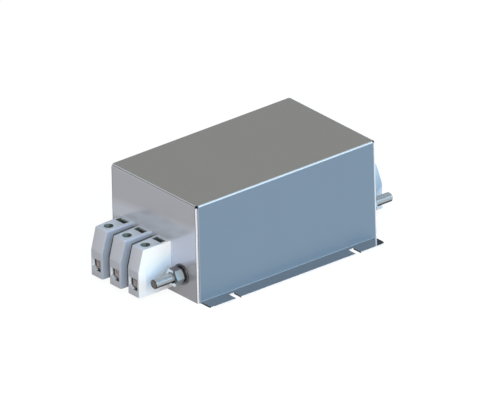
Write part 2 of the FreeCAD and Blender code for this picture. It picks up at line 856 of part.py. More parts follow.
def make_carrier():
    """Insulating oval block that spaces the bars inside the cores."""
    half = f"({CORES_HALF} + carrier_overhang)"
    block = racetrack("carrier_form", around("0", half), *core_opening("0"))
    tools = []
    for pole in (1, 2, 3):
        tools.append(
            box(
                "carrier_slot",
                around("0", f"({half} + 1)"),
                around(pole_place(pole), "(bar_width / 2 + bar_gap)"),
                around(BAR_MIDDLE, "(bar_thickness / 2 + bar_gap)"),
            )
        )
    return node("bar_carrier", cut("bar_carrier", block, *tools))


def make_saddle():
    """Moulded block on the base plate that the cores stand on."""
    low = f"{CARRIER_LOW} + carrier_half_height"
    high = f"{CARRIER_HIGH} - carrier_half_height"
    saddle = box("saddle", around("0", CORES_HALF), (low, high), ("plate_thickness", CORE_BOTTOM))
    return node("core_saddle", saddle)


def make_straps():
    """Steel straps over the first and last core, down to the base plate."""
    pieces = []
    reach = f"({CORES_HALF} - core_length / 2)"
    for side in (LINE_END, LOAD_END):
        centre = f"{side} * {reach}"
        span = around(centre, "strap_width / 2")
        longer = around(centre, "strap_width")
        grown = "(2 * fit_gap + core_wall)"
        outer_across, outer_up = core_opening(f"({grown} + strap_sheet)")
        inner_across, inner_up = core_opening(grown)
        low = ("plate_thickness", BAR_MIDDLE)
        lower = ("plate_thickness - 1", BAR_MIDDLE)
        upper = box("strap_upper", longer, ("-case_width", "case_width"), (BAR_MIDDLE, "case_height"))
        arch = common("strap_arch", racetrack("strap_out", span, outer_across, outer_up), upper)
        band = fuse("strap_band", arch, box("strap_legs", span, outer_across, low))
        inner = fuse(
            "strap_space",
            racetrack("strap_in", longer, inner_across, inner_up),
            box("strap_between", longer, inner_across, lower),
        )
        pieces.append(cut("core_strap", band, inner))
    return node("core_straps", group("core_straps", *pieces))


# Circuit board and what it carries


def standoff_places():
    """X and Y of the four standoffs."""
    for x in (f"-{STANDOFF_X}", STANDOFF_X):
        for y in (f"-{STANDOFF_Y}", STANDOFF_Y):
            yield x, y


def make_board():
    """Circuit board above the chokes."""
    board = box(
        "board",
        around("0", BOARD_HALF_LENGTH),
        around("0", BOARD_HALF_WIDTH),
        ("board_height", BOARD_TOP),
    )
    through = ("board_height - 1", f"{BOARD_TOP} + 1")
    tools = [rod("board_hole", "Z", place, "board_screw_radius", through) for place in standoff_places()]
    for pole in (1, 2, 3):
        tools.append(rod("link_hole", "Z", (LINK_SCREW_PLACE, pole_place(pole)), "link_screw_radius", through))
    return node("filter_board", cut("filter_board", board, *tools))


def make_standoffs():
    """Tapped pillars from the base plate to the board."""
    pieces = []
    for place in standoff_places():
        pillar = rod("pillar", "Z", place, "standoff_radius", ("plate_thickness", "board_height"))
        bore = rod("pillar_bore", "Z", place, "board_screw_radius", ("board_height / 2", "board_height + 1"))
        pieces.append(cut("standoff", pillar, bore))
    return node("board_standoffs", group("board_standoffs", *pieces))


def cap_screw(name, place, radius, head_radius, head_tall, seat, depth):
    """Round-headed screw pointing down from its seat."""
    head = rod(name + "_head", "Z", place, head_radius, (seat, f"{seat} + {head_tall}"))
    shank = rod(name + "_shank", "Z", place, radius, (f"{seat} - ({depth})", seat))
    return fuse(name, head, shank)


def make_board_screws():
    """Screws that hold the board on its standoffs."""
    pieces = [
        cap_screw("board_screw", place, "board_screw_radius", "board_screw_head", "board_screw_radius",
                  BOARD_TOP, "board_screw_depth")
        for place in standoff_places()
    ]
    return node("board_screws", group("board_screws", *pieces))


def board_part(name, step, start, length, width, tall):
    """Boxed capacitor on the board with its upright edges rounded."""
    centre = f"{step} * {PART_PITCH}"
    return node(
        name,
        rounded_block(
            name,
            "Z",
            (start, f"{start} + {length}"),
            around(centre, f"{width} / 2"),
            (BOARD_TOP, f"{BOARD_TOP} + {tall}"),
            "film_round",
        ),
    )


def make_resistors():
    """Discharge resistors that lie on the board."""
    pieces = []
    for step in (-1, 0, 1):
        pieces.append(
            rod(
                "resistor",
                "X",
                (f"{step} * {PART_PITCH}", f"{BOARD_TOP} + resistor_radius"),
                "resistor_radius",
                (RESISTOR_START, f"{RESISTOR_START} + resistor_length"),
            )
        )
    return node("discharge_resistors", group("discharge_resistors", *pieces))


def make_link(name, pole):
    """Copper strip folded from the top of a bar to the top of the board."""
    across = around(pole_place(pole), "bar_width / 2")
    foot = (f"{LINK_OUTER} - link_foot", LINK_OUTER)
    upright = (f"{LINK_OUTER} - link_sheet", LINK_OUTER)
    strip = fuse(
        name + "_strip",
        box(name + "_low", foot, across, (BAR_TOP, f"{BAR_TOP} + link_sheet")),
        box(name + "_wall", upright, across, (BAR_TOP, f"{BOARD_TOP} + link_sheet")),
        box(name + "_high", foot, across, (BOARD_TOP, f"{BOARD_TOP} + link_sheet")),
    )
    hole = rod(
        name + "_hole",
        "Z",
        (LINK_SCREW_PLACE, pole_place(pole)),
        "link_screw_radius",
        ("bar_height", "case_height"),
    )
    return node(name, cut(name, strip, hole))


def make_link_screws():
    """Screws through the links into the bars and the board."""
    pieces = []
    for pole in (1, 2, 3):
        place = (LINK_SCREW_PLACE, pole_place(pole))
        for seat, depth in (
            (f"({BAR_TOP} + link_sheet)", "(bar_thickness + link_sheet)"),
            (f"({BOARD_TOP} + link_sheet)", "(board_thickness + link_sheet)"),
        ):
            pieces.append(
                cap_screw("link_screw", place, "link_screw_radius", "link_head_radius", "link_head_tall", seat, depth)
            )
    return node("link_screws", group("link_screws", *pieces))


def make_ground_link():
    """Strip from the base plate up to the board's ground pad."""
    across = around(STUD_PLACE, "bar_width / 2")
    foot = (f"-{LINK_OUTER}", f"-{LINK_OUTER} + ground_link_foot")
    upright = (f"-{LINK_OUTER}", f"-{LINK_OUTER} + link_sheet")
    return node(
        "ground_link",
        fuse(
            "ground_link",
            box("ground_low", foot, across, ("plate_thickness", "plate_thickness + link_sheet")),
            box("ground_wall", upright, across, ("plate_thickness", f"{BOARD_TOP} + link_sheet")),
            box("ground_high", foot, across, (BOARD_TOP, f"{BOARD_TOP} + link_sheet")),
        ),
    )


# Assembly

make_housing()
make_base_plate()
make_base_screws()
for end, side in ENDS.items():
    make_bracket(f"{end}_base_bracket", side)
    make_stud(f"{end}_ground_stud", side)
    make_lock_plate(f"{end}_lock_plate", side)
    make_end_cover(f"{end}_end_cover", side)
    for pole in (1, 2, 3):
        make_block(f"{end}_terminal_{pole}", side, pole)
        make_insert(f"{end}_insert_{pole}", side, pole)
        make_cage(f"{end}_clamp_{pole}", side, pole)
make_clamp_screws()
make_washers()
make_spring_washers()
make_nuts()
for pole in (1, 2, 3):
    make_bar(f"phase_bar_{pole}", pole)
    make_link(f"phase_link_{pole}", pole)
for index in range(CORE_COUNT):
    make_core(f"choke_core_{index + 1}", index)
make_carrier()
make_saddle()
make_straps()
make_board()
make_standoffs()
make_board_screws()
for index, step in enumerate((1, 0, -1), start=1):
    board_part(f"film_capacitor_{index}", step, FILM_START, "film_length", FILM_WIDTH, FILM_TALL)
    board_part(
        f"ground_capacitor_{index}", step, CERAMIC_START, "ceramic_length", "ceramic_width", "ceramic_tall"
    )
make_resistors()
make_link_screws()
make_ground_link()

doc.recompute()
for item in doc.Objects:
    if {"Invalid", "Error"} & set(item.State):
        raise RuntimeError(f"{item.Label} failed: {item.State}")
for name, piece in nodes.items():
    if piece.Shape.isNull() or not piece.Shape.isValid():
        raise RuntimeError(f"{name} has no valid shape")

os.makedirs("parts", exist_ok=True)
for name, piece in nodes.items():
    piece.Shape.exportStep(f"parts/{name}.step")
print(len(nodes), "nodes written")
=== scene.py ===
"""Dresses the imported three-pole line filter and sets it in a plain studio.

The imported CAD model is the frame. The folded housing, the terminal blocks with
their end covers and the hardware of the ground studs are modelled again here
with the folds, edges and threads of the real parts. The inner pieces keep
their CAD shapes and get finishes. Lengths are in metres, +X runs from the line
end to the load end, +Z is up.
"""

import logging
import math
from dataclasses import dataclass
from enum import Enum
from typing import Iterable, Sequence

import bmesh
import bpy
from mathutils import Matrix, Vector


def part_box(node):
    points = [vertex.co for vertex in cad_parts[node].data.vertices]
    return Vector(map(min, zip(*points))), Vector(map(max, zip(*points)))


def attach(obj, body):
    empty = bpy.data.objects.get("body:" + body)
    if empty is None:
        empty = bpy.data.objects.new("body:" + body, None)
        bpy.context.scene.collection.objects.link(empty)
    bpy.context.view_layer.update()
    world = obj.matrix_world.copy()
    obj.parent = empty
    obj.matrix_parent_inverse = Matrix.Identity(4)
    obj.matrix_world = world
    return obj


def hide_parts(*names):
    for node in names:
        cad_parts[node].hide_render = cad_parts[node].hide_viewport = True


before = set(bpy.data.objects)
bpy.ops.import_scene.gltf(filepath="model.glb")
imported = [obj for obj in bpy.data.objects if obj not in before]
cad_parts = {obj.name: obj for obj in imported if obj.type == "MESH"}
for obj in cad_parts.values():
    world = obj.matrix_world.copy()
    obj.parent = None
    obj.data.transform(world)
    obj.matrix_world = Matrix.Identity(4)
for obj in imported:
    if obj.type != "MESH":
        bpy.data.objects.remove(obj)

MM = 0.001
HANDS = (-1, 1)
POLES = (1, 2, 3)
UP = Vector((0, 0, 1))
CLEAR = 1.0 * MM  # How far cutters stand out, and how far edges of different kinds lie apart
NEAR = 0.01 * MM  # How far apart two places may lie that count as one
SQUARE = 0.9  # Share of a normal along an axis that its face looks along
log = logging.getLogger("line_filter")

Color = tuple[float, float, float]
Point = tuple[float, float]
Place = tuple[int, int]
Value = bpy.types.NodeSocket | float


class End(Enum):
    """The two ends of the box, each with the sign of its X."""

    LINE = -1
    LOAD = 1

    def named(self, rest: str) -> str:
        """Name of one of this end's nodes or pieces."""
        return f"{self.name.lower()}_{rest}"


# Finishes


@dataclass(frozen=True)
class Grain:
    """How one texture is stretched and how strong its layers are."""

    name: str
    stretch: tuple[float, float, float]
    fine_scale: float
    cloud_scale: float
    roughness_swing: float
    cell_share: float
    tone_swing: float = 0.04


class Texture(Enum):
    """Kinds of surface texture that the finishes share."""

    ROLLED = Grain("rolled sheet", (0.06, 1.0, 1.0), 2600.0, 16.0, 0.05, 0.15)
    MOULDED = Grain("moulded plastic", (1.0, 1.0, 1.0), 3800.0, 42.0, 0.06, 0.10)
    TURNED = Grain("turned metal", (1.0, 0.12, 0.12), 3200.0, 60.0, 0.05, 0.05)
    SINTERED = Grain("sintered core", (1.0, 1.0, 1.0), 1800.0, 70.0, 0.12, 0.45)
    LAMINATE = Grain("board laminate", (1.0, 1.0, 0.3), 2200.0, 30.0, 0.05, 0.30)


@dataclass(frozen=True)
class Fade:
    """Colours that follow one another along a direction, each with its distance in millimetres."""

    along: tuple[float, float, float]
    stops: tuple[tuple[float, Color], ...]


@dataclass(frozen=True)
class Finish:
    """Base values of one surface, before its texture is laid over them."""

    name: str
    color: Color
    metallic: float
    roughness: float
    texture: Texture
    relief: float = 0.1
    specular: float = 0.5
    coat: float = 0.0
    fades: tuple[Fade, ...] = ()


def sheet(name: str, color: Color, metallic: float = 0.10, roughness: float = 0.35, **more: object) -> Finish:
    """Finish of rolled sheet or strip."""
    return Finish(name, color, metallic, roughness, Texture.ROLLED, **more)


def plastic(name: str, color: Color, roughness: float = 0.42, **more: object) -> Finish:
    """Finish of a moulded piece."""
    return Finish(name, color, 0.0, roughness, Texture.MOULDED, **more)


def turned(name: str, color: Color, metallic: float, roughness: float, **more: object) -> Finish:
    """Finish of a turned, pressed or threaded piece."""
    return Finish(name, color, metallic, roughness, Texture.TURNED, **more)


class Surface(Enum):
    """Finishes of one kind of piece, in the order of its material slots."""

    @property
    def slot(self) -> int:
        """Number of the material slot."""
        return list(type(self)).index(self)

    @classmethod
    def materials(cls) -> list[bpy.types.Material]:
        """Materials of all the slots."""
        return [workshop.material(part.value) for part in cls]


# Painted light on the end flaps: darker towards the foot as painted shade, then a brighter bluish band as a
# painted reflection of the white end cover.
FLAP_SHADE_AND_REFLECTION = Fade((0, 0.6, 1), (
    (3, (0.300, 0.293, 0.309)), (12, (0.548, 0.575, 0.672)),
    (38, (0.548, 0.575, 0.672)), (48, (0.402, 0.392, 0.410)),
))
# A brighter band higher on the end flaps, a painted reflection of the terminal blocks; the flap takes the
# lighter colour of the two fades.
FLAP_REFLECTION_BAND = Fade((0, 0.1, 1), (
    (48, (0.0, 0.0, 0.0)), (51, (0.402, 0.392, 0.410)), (59, (0.505, 0.520, 0.560)),
    (70, (0.505, 0.520, 0.560)), (80, (0.402, 0.392, 0.410)),
))
# At the load-end corner of the flange on the -Y side: a painted highlight line, then painted shade near
# black, standing in for a reflection.
FLANGE_CORNER_GLINT_AND_SHADE = Fade((0.783, -0.622, 0), (
    (129.6, (0.195, 0.227, 0.258)), (130.2, (0.800, 0.820, 0.880)),
    (130.8, (0.800, 0.820, 0.880)), (131.3, (0.030, 0.034, 0.042)),
))
# Painted shade on the white end covers: bluish darker bands beside the ground stud, and a bluish load-end
# cover, where less light falls.
COVER_SHADE_BANDS = Fade((-0.5, 0, 1), (
    (-56, (1.0, 1.0, 1.0)), (-48, (0.450, 0.560, 0.660)), (-38, (0.500, 0.620, 0.720)),
    (-22, (0.660, 0.810, 0.930)), (40, (0.660, 0.810, 0.930)), (60, (1.0, 1.0, 1.0)),
    (80, (1.0, 1.0, 1.0)), (89, (0.700, 0.850, 0.980)), (95, (0.700, 0.850, 0.980)),
    (101, (0.880, 0.970, 0.980)), (113, (1.000, 0.990, 0.960)),
))
# Painted light: the nose of the line-end cover is brought to full white.
COVER_NOSE_LIGHT = Fade((-1, 0, 0), ((139, (0.0, 0.0, 0.0)), (148, (1.0, 1.0, 0.980))))


class SheetPart(Surface):
    """Finishes of the folded sheet."""

    # Roof, walls, flaps and flanges are one zinc sheet; their colours differ as painted light: warm grey on
    # the roof, bluish on the walls and flanges, lighter grey on the flaps, as each side is lit and reflects
    # its surroundings.
    ROOF = sheet("zinc sheet of the roof", (0.283, 0.262, 0.233), 0.30, 0.24)
    WALL = sheet("zinc sheet of the walls", (0.202, 0.264, 0.324), 0.10, 0.36)
    FLAP = sheet(
        "zinc sheet of the flaps", (0.435, 0.429, 0.450), 0.10, 0.30,
        specular=0.2, coat=0.9, relief=0.02, fades=(FLAP_SHADE_AND_REFLECTION, FLAP_REFLECTION_BAND),
    )
    FLANGE = sheet("zinc sheet of the flanges", (0.195, 0.227, 0.258), 0.20, 0.32, fades=(FLANGE_CORNER_GLINT_AND_SHADE,))
    # Bare sheared metal at the cut edges, painted nearly white as a highlight.
    CUT = sheet("sheared edge of the sheet", (1.000, 0.930, 0.900))
    HOLE = sheet("shaded relief hole", (0.004, 0.004, 0.006), 0.0, 0.8, specular=0.0)
    # The rounded folds are painted bright as highlights.
    LONG_FOLD = sheet("long fold with painted highlight", (0.640, 0.680, 0.700), 0.30, 0.25)
    SHORT_FOLD = sheet("short fold with painted highlight", (0.600, 0.610, 0.620), 0.30, 0.25)
    # A dark line painted as shade: on each flap beside its cut edge, where no groove is cut, and along the
    # middle of each short fold between its painted highlights.
    SHADE_LINE = sheet("shaded line beside the cut edge", (0.120, 0.112, 0.120), 0.10, 0.40)
    # The rounded return behind each flap is painted a darker lilac as shade where it turns towards the end of
    # the box.
    RIM = sheet("folded rim behind the flap", (0.200, 0.195, 0.250))
    # The fillets at the flange roots and on the returns are painted lighter as a highlight.
    FOOT = sheet("fillet with painted highlight", (0.310, 0.370, 0.420), 0.15, 0.30)
    # The sheared ends of the flanges are painted near black as shade.
    TIP = sheet("sheared end with painted shade", (0.040, 0.045, 0.055), 0.10, 0.45, specular=0.2)


class BlockPart(Surface):
    """Finishes of a terminal block."""

    BODY = plastic("grey terminal plastic", (0.541, 0.537, 0.571))
    DRIVER = plastic("shaded driver hole", (0.160, 0.210, 0.210), 0.60, specular=0.2)
    POCKET = plastic("shaded marker pocket", (0.080, 0.094, 0.088), 0.60, specular=0.2)
    # WINDOW, TOP, SIDE, NOSE, LIP and SHOULDER are the grey terminal plastic painted as light and shade: a
    # near-white lit window side, bluish lighter tops and shoulders, darker sides, lower fronts and pocket
    # lips.
    WINDOW = plastic("window side with painted light", (0.880, 0.960, 1.000), 0.45)
    TOP = plastic("terminal top with painted light", (0.536, 0.590, 0.654))
    SIDE = plastic("terminal side with painted shade", (0.392, 0.452, 0.540))
    NOSE = plastic("terminal nose with painted shade", (0.489, 0.492, 0.515))
    LIP = plastic("pocket lip with painted shade", (0.280, 0.300, 0.300), 0.50)
    SHOULDER = plastic("terminal shoulder with painted highlight", (0.430, 0.510, 0.680))
    GAP = plastic("shaded gap between terminals", (0.140, 0.155, 0.175), 0.55, specular=0.2)


class StudPart(Surface):
    """Finishes of a ground stud."""

    # One steel throughout: the tip face is painted dark brown as shade, the chamfer at the tip and the
    # downward faces of the thread near black as shade.
    SHANK = turned("rolled stud steel", (0.400, 0.435, 0.450), 0.6, 0.20)
    TIP = turned("stud tip face with painted shade", (0.125, 0.112, 0.100), 0.3, 0.50)
    PAINTED_SHADE = turned("oiled underside of the thread", (0.016, 0.010, 0.009), 0.2, 0.50, specular=0.3)


# Near black painted on the split washer as a dark reflection, and in the nut's countersunk bore as shade.
DARK_WASHER_AND_BORE_SHADE = turned("black split washer", (0.030, 0.030, 0.034), 0.6, 0.35)


class NutPart(Surface):
    """Finishes of a nut."""

    # One plated steel: the nut face is painted bright as a reflection, the top flat and a sector of the face
    # beside the stud dark as shade.
    FLAT = turned("plated nut steel", (0.345, 0.385, 0.385), 0.6, 0.34)
    FACE = turned("nut face with painted reflection", (0.780, 0.840, 0.860), 0.4, 0.34)
    BORE = DARK_WASHER_AND_BORE_SHADE
    TOP = turned("top nut flat with painted shade", (0.160, 0.140, 0.145), 0.6, 0.34)
    SHADE = turned("nut face sector with painted shade", (0.105, 0.125, 0.135), 0.4, 0.40)


WASHER_STEEL = turned("dark plated washer", (0.150, 0.150, 0.160), 0.8, 0.32)
BRIGHT_STEEL = turned("bright plated steel", (0.640, 0.670, 0.700), 1.0, 0.16)
COVER_PLASTIC = plastic("white cover plastic", (1.000, 0.990, 0.960), 0.40, fades=(COVER_SHADE_BANDS, COVER_NOSE_LIGHT))
INSERT_PLASTIC = plastic("dark insert plastic", (0.030, 0.034, 0.034), 0.5)
CARRIER_PLASTIC = plastic("pale carrier plastic", (0.620, 0.590, 0.470), 0.5)
CLAMP_STEEL = sheet("clamp steel", (0.820, 0.755, 0.730), 0.30, 0.42)
COPPER = sheet("tinned copper bar", (0.720, 0.430, 0.300), 1.0, 0.32)
PLATE_STEEL = sheet("bracket steel", (0.330, 0.335, 0.345), 0.8, 0.32)
CORE_IRON = Finish("coated choke core", (0.035, 0.036, 0.040), 0.1, 0.62, Texture.SINTERED)
BOARD_GREEN = Finish("lacquered board", (0.020, 0.120, 0.050), 0.0, 0.28, Texture.LAMINATE)
FILM_YELLOW = plastic("film capacitor case", (0.620, 0.400, 0.030), 0.45)
CASE_BLUE = plastic("ground capacitor case", (0.030, 0.080, 0.260))
RESISTOR_COAT = plastic("resistor lacquer", (0.110, 0.240, 0.280), 0.30)


# Node tools


class NodeWork:
    """Adds nodes to a tree, with their values, links and places in the layout."""

    def __init__(self, tree: bpy.types.NodeTree) -> None:
        """Keep the tree to fill."""
        self.tree = tree

    @classmethod
    def group(cls, name: str, inputs: dict[str, str], outputs: dict[str, str]) -> "NodeWork":
        """Start a node group.

        Args:
            name: Name of the group.
            inputs: Kinds of the inputs by their names.
            outputs: Kinds of the outputs by their names.

        Returns:
            The work on the new group.
        """
        tree = bpy.data.node_groups.new(name, "ShaderNodeTree")
        for way, sockets in (("INPUT", inputs), ("OUTPUT", outputs)):
            for socket, kind in sockets.items():
                tree.interface.new_socket(socket, in_out=way, socket_type=f"NodeSocket{kind}")
        return cls(tree)

    @classmethod
    def cleared(cls, owner: bpy.types.Material | bpy.types.World) -> "NodeWork":
        """Start on a material or world with no node in it.

        Args:
            owner: The material or world.

        Returns:
            The work on its empty tree.
        """
        owner.use_nodes = True
        owner.node_tree.nodes.clear()
        return cls(owner.node_tree)

    def fill(self, node: bpy.types.Node, inputs: dict) -> None:
        """Link sockets to a node's inputs, or set values.

        Args:
            node: The node.
            inputs: Sockets or values by the inputs' names or numbers.
        """
        for key, value in inputs.items():
            if isinstance(value, bpy.types.NodeSocket):
                self.tree.links.new(value, node.inputs[key])
            else:
                node.inputs[key].default_value = value

    def add(self, kind: str, place: Place, inputs: dict | None = None, **settings: object) -> bpy.types.Node:
        """New node.

        Args:
            kind: Type of the node.
            place: Column and row in the layout.
            inputs: Sockets or values for its inputs.
            settings: Its other properties.

        Returns:
            The node.
        """
        made = self.tree.nodes.new(kind)
        made.location = (220 * place[0], -220 * place[1])
        for name, value in settings.items():
            setattr(made, name, value)
        self.fill(made, inputs or {})
        return made

    def math(self, operation: str, place: Place, first: Value, second: Value) -> bpy.types.NodeSocket:
        """Result of a math node on two sockets or numbers."""
        return self.add("ShaderNodeMath", place, {0: first, 1: second}, operation=operation).outputs[0]

    def seen(self) -> bpy.types.NodeSocket:
        """Socket that is 1 for camera, glossy and transmission rays.

        Returns:
            The socket.
        """
        rays = self.add("ShaderNodeLightPath", (0, 3)).outputs
        mirrored = self.math("MAXIMUM", (1, 3), rays["Is Camera Ray"], rays["Is Glossy Ray"])
        return self.math("MAXIMUM", (2, 3), mirrored, rays["Is Transmission Ray"])


class Workshop:
    """Builds node groups and materials, each of them once."""

    def __init__(self) -> None:
        """Start with nothing built."""
        self.groups: dict[str, bpy.types.NodeTree] = {}
        self.materials: dict[Finish, bpy.types.Material] = {}

    def material(self, finish: Finish) -> bpy.types.Material:
        """Material of a finish.

        Args:
            finish: Base values and kind of texture.

        Returns:
            The material, made on its first use.
        """
        if finish in self.materials:
            return self.materials[finish]
        made = bpy.data.materials.new(finish.name)
        made.use_nodes = True
        work = NodeWork(made.node_tree)
        place = work.add("ShaderNodeTexCoord", (-6, 0)).outputs["Object"]
        color = (*finish.color, 1.0)
        for number, fade in enumerate(finish.fades):
            shown = self.faded(work, place, fade, number)
            if number:
                both = {"Fac": 1.0, "Color1": color, "Color2": shown}
                lighter = work.add("ShaderNodeMixRGB", (-3, number), both, blend_type="LIGHTEN")
                shown = lighter.outputs["Color"]
            color = shown
        values = {"Place": place, "Color": color, "Roughness": finish.roughness}
        group = self.texture_group(finish.texture.value)
        effect = work.add("ShaderNodeGroup", (-2, 0), values, node_tree=group)
        bumps = {"Strength": finish.relief, "Distance": 0.1 * MM, "Height": effect.outputs["Height"]}
        work.fill(made.node_tree.nodes["Principled BSDF"], {
            "Base Color": effect.outputs["Color"],
            "Roughness": effect.outputs["Roughness"],
            "Normal": work.add("ShaderNodeBump", (-1, 0), bumps).outputs["Normal"],
            "Metallic": finish.metallic,
            "Specular IOR Level": finish.specular,
            "Coat Weight": finish.coat,
        })
        self.materials[finish] = made
        return made

    def faded(
        self, work: NodeWork, place: bpy.types.NodeSocket, fade: Fade, row: int
    ) -> bpy.types.NodeSocket:
        """Colour that changes along the direction of a fade.

        Args:
            work: Work on the material.
            place: Socket with the place on the piece.
            fade: Direction and colours.
            row: Row in the layout.

        Returns:
            The colour's socket.
        """
        first, last = fade.stops[0][0], fade.stops[-1][0]
        values = {"Place": place, "Along": fade.along, "Start": first * MM, "End": last * MM}
        share = work.add("ShaderNodeGroup", (-5, row), values, node_tree=self.fade_group())
        ramp = work.add("ShaderNodeValToRGB", (-4, row), {"Fac": share.outputs["Share"]})
        elements = ramp.color_ramp.elements
        elements.remove(elements[1])
        for number, (distance, color) in enumerate(fade.stops):
            position = (distance - first) / (last - first)
            element = elements.new(position) if number else elements[0]
            element.position = position
            element.color = (*color, 1.0)
        return ramp.outputs["Color"]

    def fade_group(self) -> bpy.types.NodeTree:
        """Node group that says how far along a direction a place lies.

        Returns:
            The group, made on its first use.
        """
        name = "share of a fade"
        if name not in self.groups:
            inputs = {"Place": "Vector", "Along": "Vector", "Start": "Float", "End": "Float"}
            work = NodeWork.group(name, inputs, {"Share": "Float"})
            entry = work.add("NodeGroupInput", (0, 0)).outputs
            ends = {0: entry["Place"], 1: entry["Along"]}
            reach = work.add("ShaderNodeVectorMath", (1, 0), ends, operation="DOT_PRODUCT").outputs["Value"]
            limits = {"Value": reach, "From Min": entry["Start"], "From Max": entry["End"]}
            share = work.add("ShaderNodeMapRange", (2, 0), limits).outputs[0]
            work.add("NodeGroupOutput", (3, 0), {"Share": share})
            self.groups[name] = work.tree
        return self.groups[name]

    def texture_group(self, grain: Grain) -> bpy.types.NodeTree:
        """Node group whose fine grain and slow clouds move colour, roughness and height.

        Args:
            grain: Shape of the texture.

        Returns:
            The group, made on its first use.
        """
        if grain.name in self.groups:
            return self.groups[grain.name]
        work = NodeWork.group(
            grain.name,
            {"Place": "Vector", "Color": "Color", "Roughness": "Float"},
            {"Color": "Color", "Roughness": "Float", "Height": "Float"},
        )
        entry = work.add("NodeGroupInput", (0, 0)).outputs
        place = entry["Place"]
        both = {0: place, 1: grain.stretch}
        stretched = work.add("ShaderNodeVectorMath", (1, 0), both, operation="MULTIPLY")
        streaks = {"Vector": stretched.outputs[0], "Scale": grain.fine_scale, "Detail": 3.0}
        fine = work.add("ShaderNodeTexNoise", (2, 0), streaks).outputs["Fac"]
        slow = {"Vector": place, "Scale": grain.cloud_scale, "Detail": 2.0}
        clouds = work.add("ShaderNodeTexNoise", (2, 1), slow).outputs["Fac"]
        coarse = {"Vector": place, "Scale": grain.fine_scale * 0.25}
        cells = work.add("ShaderNodeTexVoronoi", (2, 2), coarse).outputs["Distance"]

        height = work.math("ADD", (4, 2), fine, work.math("MULTIPLY", (3, 2), cells, grain.cell_share))
        cloud_swing = work.math("SUBTRACT", (3, 1), clouds, 0.5)
        swing = work.math("ADD", (4, 0), cloud_swing, work.math("SUBTRACT", (3, 0), fine, 0.5))
        rough_swing = work.math("MULTIPLY", (5, 1), swing, grain.roughness_swing)
        roughness = work.math("ADD", (6, 1), entry["Roughness"], rough_swing)
        tone = work.math("ADD", (6, 0), work.math("MULTIPLY", (5, 0), swing, grain.tone_swing), 1.0)
        scaled = {0: entry["Color"], "Scale": tone}
        tint = work.add("ShaderNodeVectorMath", (7, 0), scaled, operation="SCALE")
        results = {"Color": tint.outputs[0], "Roughness": roughness, "Height": height}
        work.add("NodeGroupOutput", (8, 0), results)
        self.groups[grain.name] = work.tree
        return work.tree


workshop = Workshop()


# Mesh tools


@dataclass
class Solid:
    """One closed mesh under construction."""

    mesh: bmesh.types.BMesh

    @classmethod
    def prism(cls, outline: Iterable[Vector], along: Vector) -> "Solid":
        """Flat outline pushed along a vector.

        Args:
            outline: Corners of the outline in order.
            along: How far the outline is pushed.

        Returns:
            The closed solid.
        """
        mesh = bmesh.new()
        face = mesh.faces.new([mesh.verts.new(point) for point in outline])
        pushed = bmesh.ops.extrude_face_region(mesh, geom=[face])["geom"]
        moved = [item for item in pushed if isinstance(item, bmesh.types.BMVert)]
        bmesh.ops.translate(mesh, verts=moved, vec=along)
        bmesh.ops.recalc_face_normals(mesh, faces=mesh.faces[:])
        return cls(mesh)

    @classmethod
    def block(cls, low: Vector, high: Vector) -> "Solid":
        """Box between two corners."""
        around = ((low.x, low.y), (high.x, low.y), (high.x, high.y), (low.x, high.y))
        return cls.prism([Vector((x, y, low.z)) for x, y in around], UP * (high.z - low.z))

    @classmethod
    def turned(cls, profile: Sequence[Point], centre: Vector, axis: Vector, steps: int) -> "Solid":
        """Profile turned about an axis through a centre.

        Args:
            profile: Pairs of distance along the axis and radius, in order.
            centre: Point on the axis where the distance is nothing.
            axis: Unit direction of the axis.
            steps: Number of steps in the turn.

        Returns:
            The turned solid.
        """
        mesh = bmesh.new()
        across = axis.orthogonal().normalized()
        points = [mesh.verts.new(centre + axis * distance + across * radius) for distance, radius in profile]
        edges = [mesh.edges.new(pair) for pair in zip(points, points[1:])]
        bmesh.ops.spin(
            mesh, geom=points + edges, cent=centre, axis=axis, angle=math.tau, steps=steps, use_merge=True
        )
        bmesh.ops.remove_doubles(mesh, verts=mesh.verts[:], dist=1e-4 * MM)
        bmesh.ops.recalc_face_normals(mesh, faces=mesh.faces[:])
        return cls(mesh)

    def round_over(self, edges: Iterable[bmesh.types.BMEdge], radius: float, segments: int) -> None:
        """Round edges with an arc of some segments.

        Args:
            edges: Edges to round.
            radius: Radius of the arc.
            segments: Steps in the arc.
        """
        bmesh.ops.bevel(
            self.mesh, geom=list(edges), offset=radius, offset_type="OFFSET", segments=segments,
            profile=0.5, affect="EDGES", material=-1, clamp_overlap=True,
        )

    def soften(self, width: float) -> None:
        """Break every sharp edge by a small width.

        Args:
            width: Width of the break.
        """
        limit = math.radians(40.0)
        sharp = [edge for edge in self.mesh.edges if edge.is_manifold and edge.calc_face_angle(0.0) > limit]
        self.round_over(sharp, width, 2)

    def divide(self, point: Vector, normal: Vector) -> None:
        """Cut the faces along a plane and keep both sides."""
        geometry = self.mesh.verts[:] + self.mesh.edges[:] + self.mesh.faces[:]
        bmesh.ops.bisect_plane(self.mesh, geom=geometry, plane_co=point, plane_no=normal)

    def as_object(self, name: str, materials: Sequence[bpy.types.Material] = ()) -> bpy.types.Object:
        """Turn the mesh into an object in the scene.

        Args:
            name: Name of the object.
            materials: Its material slots in order.

        Returns:
            The object.
        """
        data = bpy.data.meshes.new(name)
        self.mesh.to_mesh(data)
        self.mesh.free()
        for material in materials:
            data.materials.append(material)
        made = bpy.data.objects.new(name, data)
        bpy.context.scene.collection.objects.link(made)
        return made


def bake(target: bpy.types.Object) -> None:
    """Replace an object's mesh by the one its modifiers give.

    Args:
        target: Object that is changed.
    """
    graph = bpy.context.evaluated_depsgraph_get()
    shaped = bpy.data.meshes.new_from_object(target.evaluated_get(graph))
    old = target.data
    target.modifiers.clear()
    target.data = shaped
    bpy.data.meshes.remove(old)


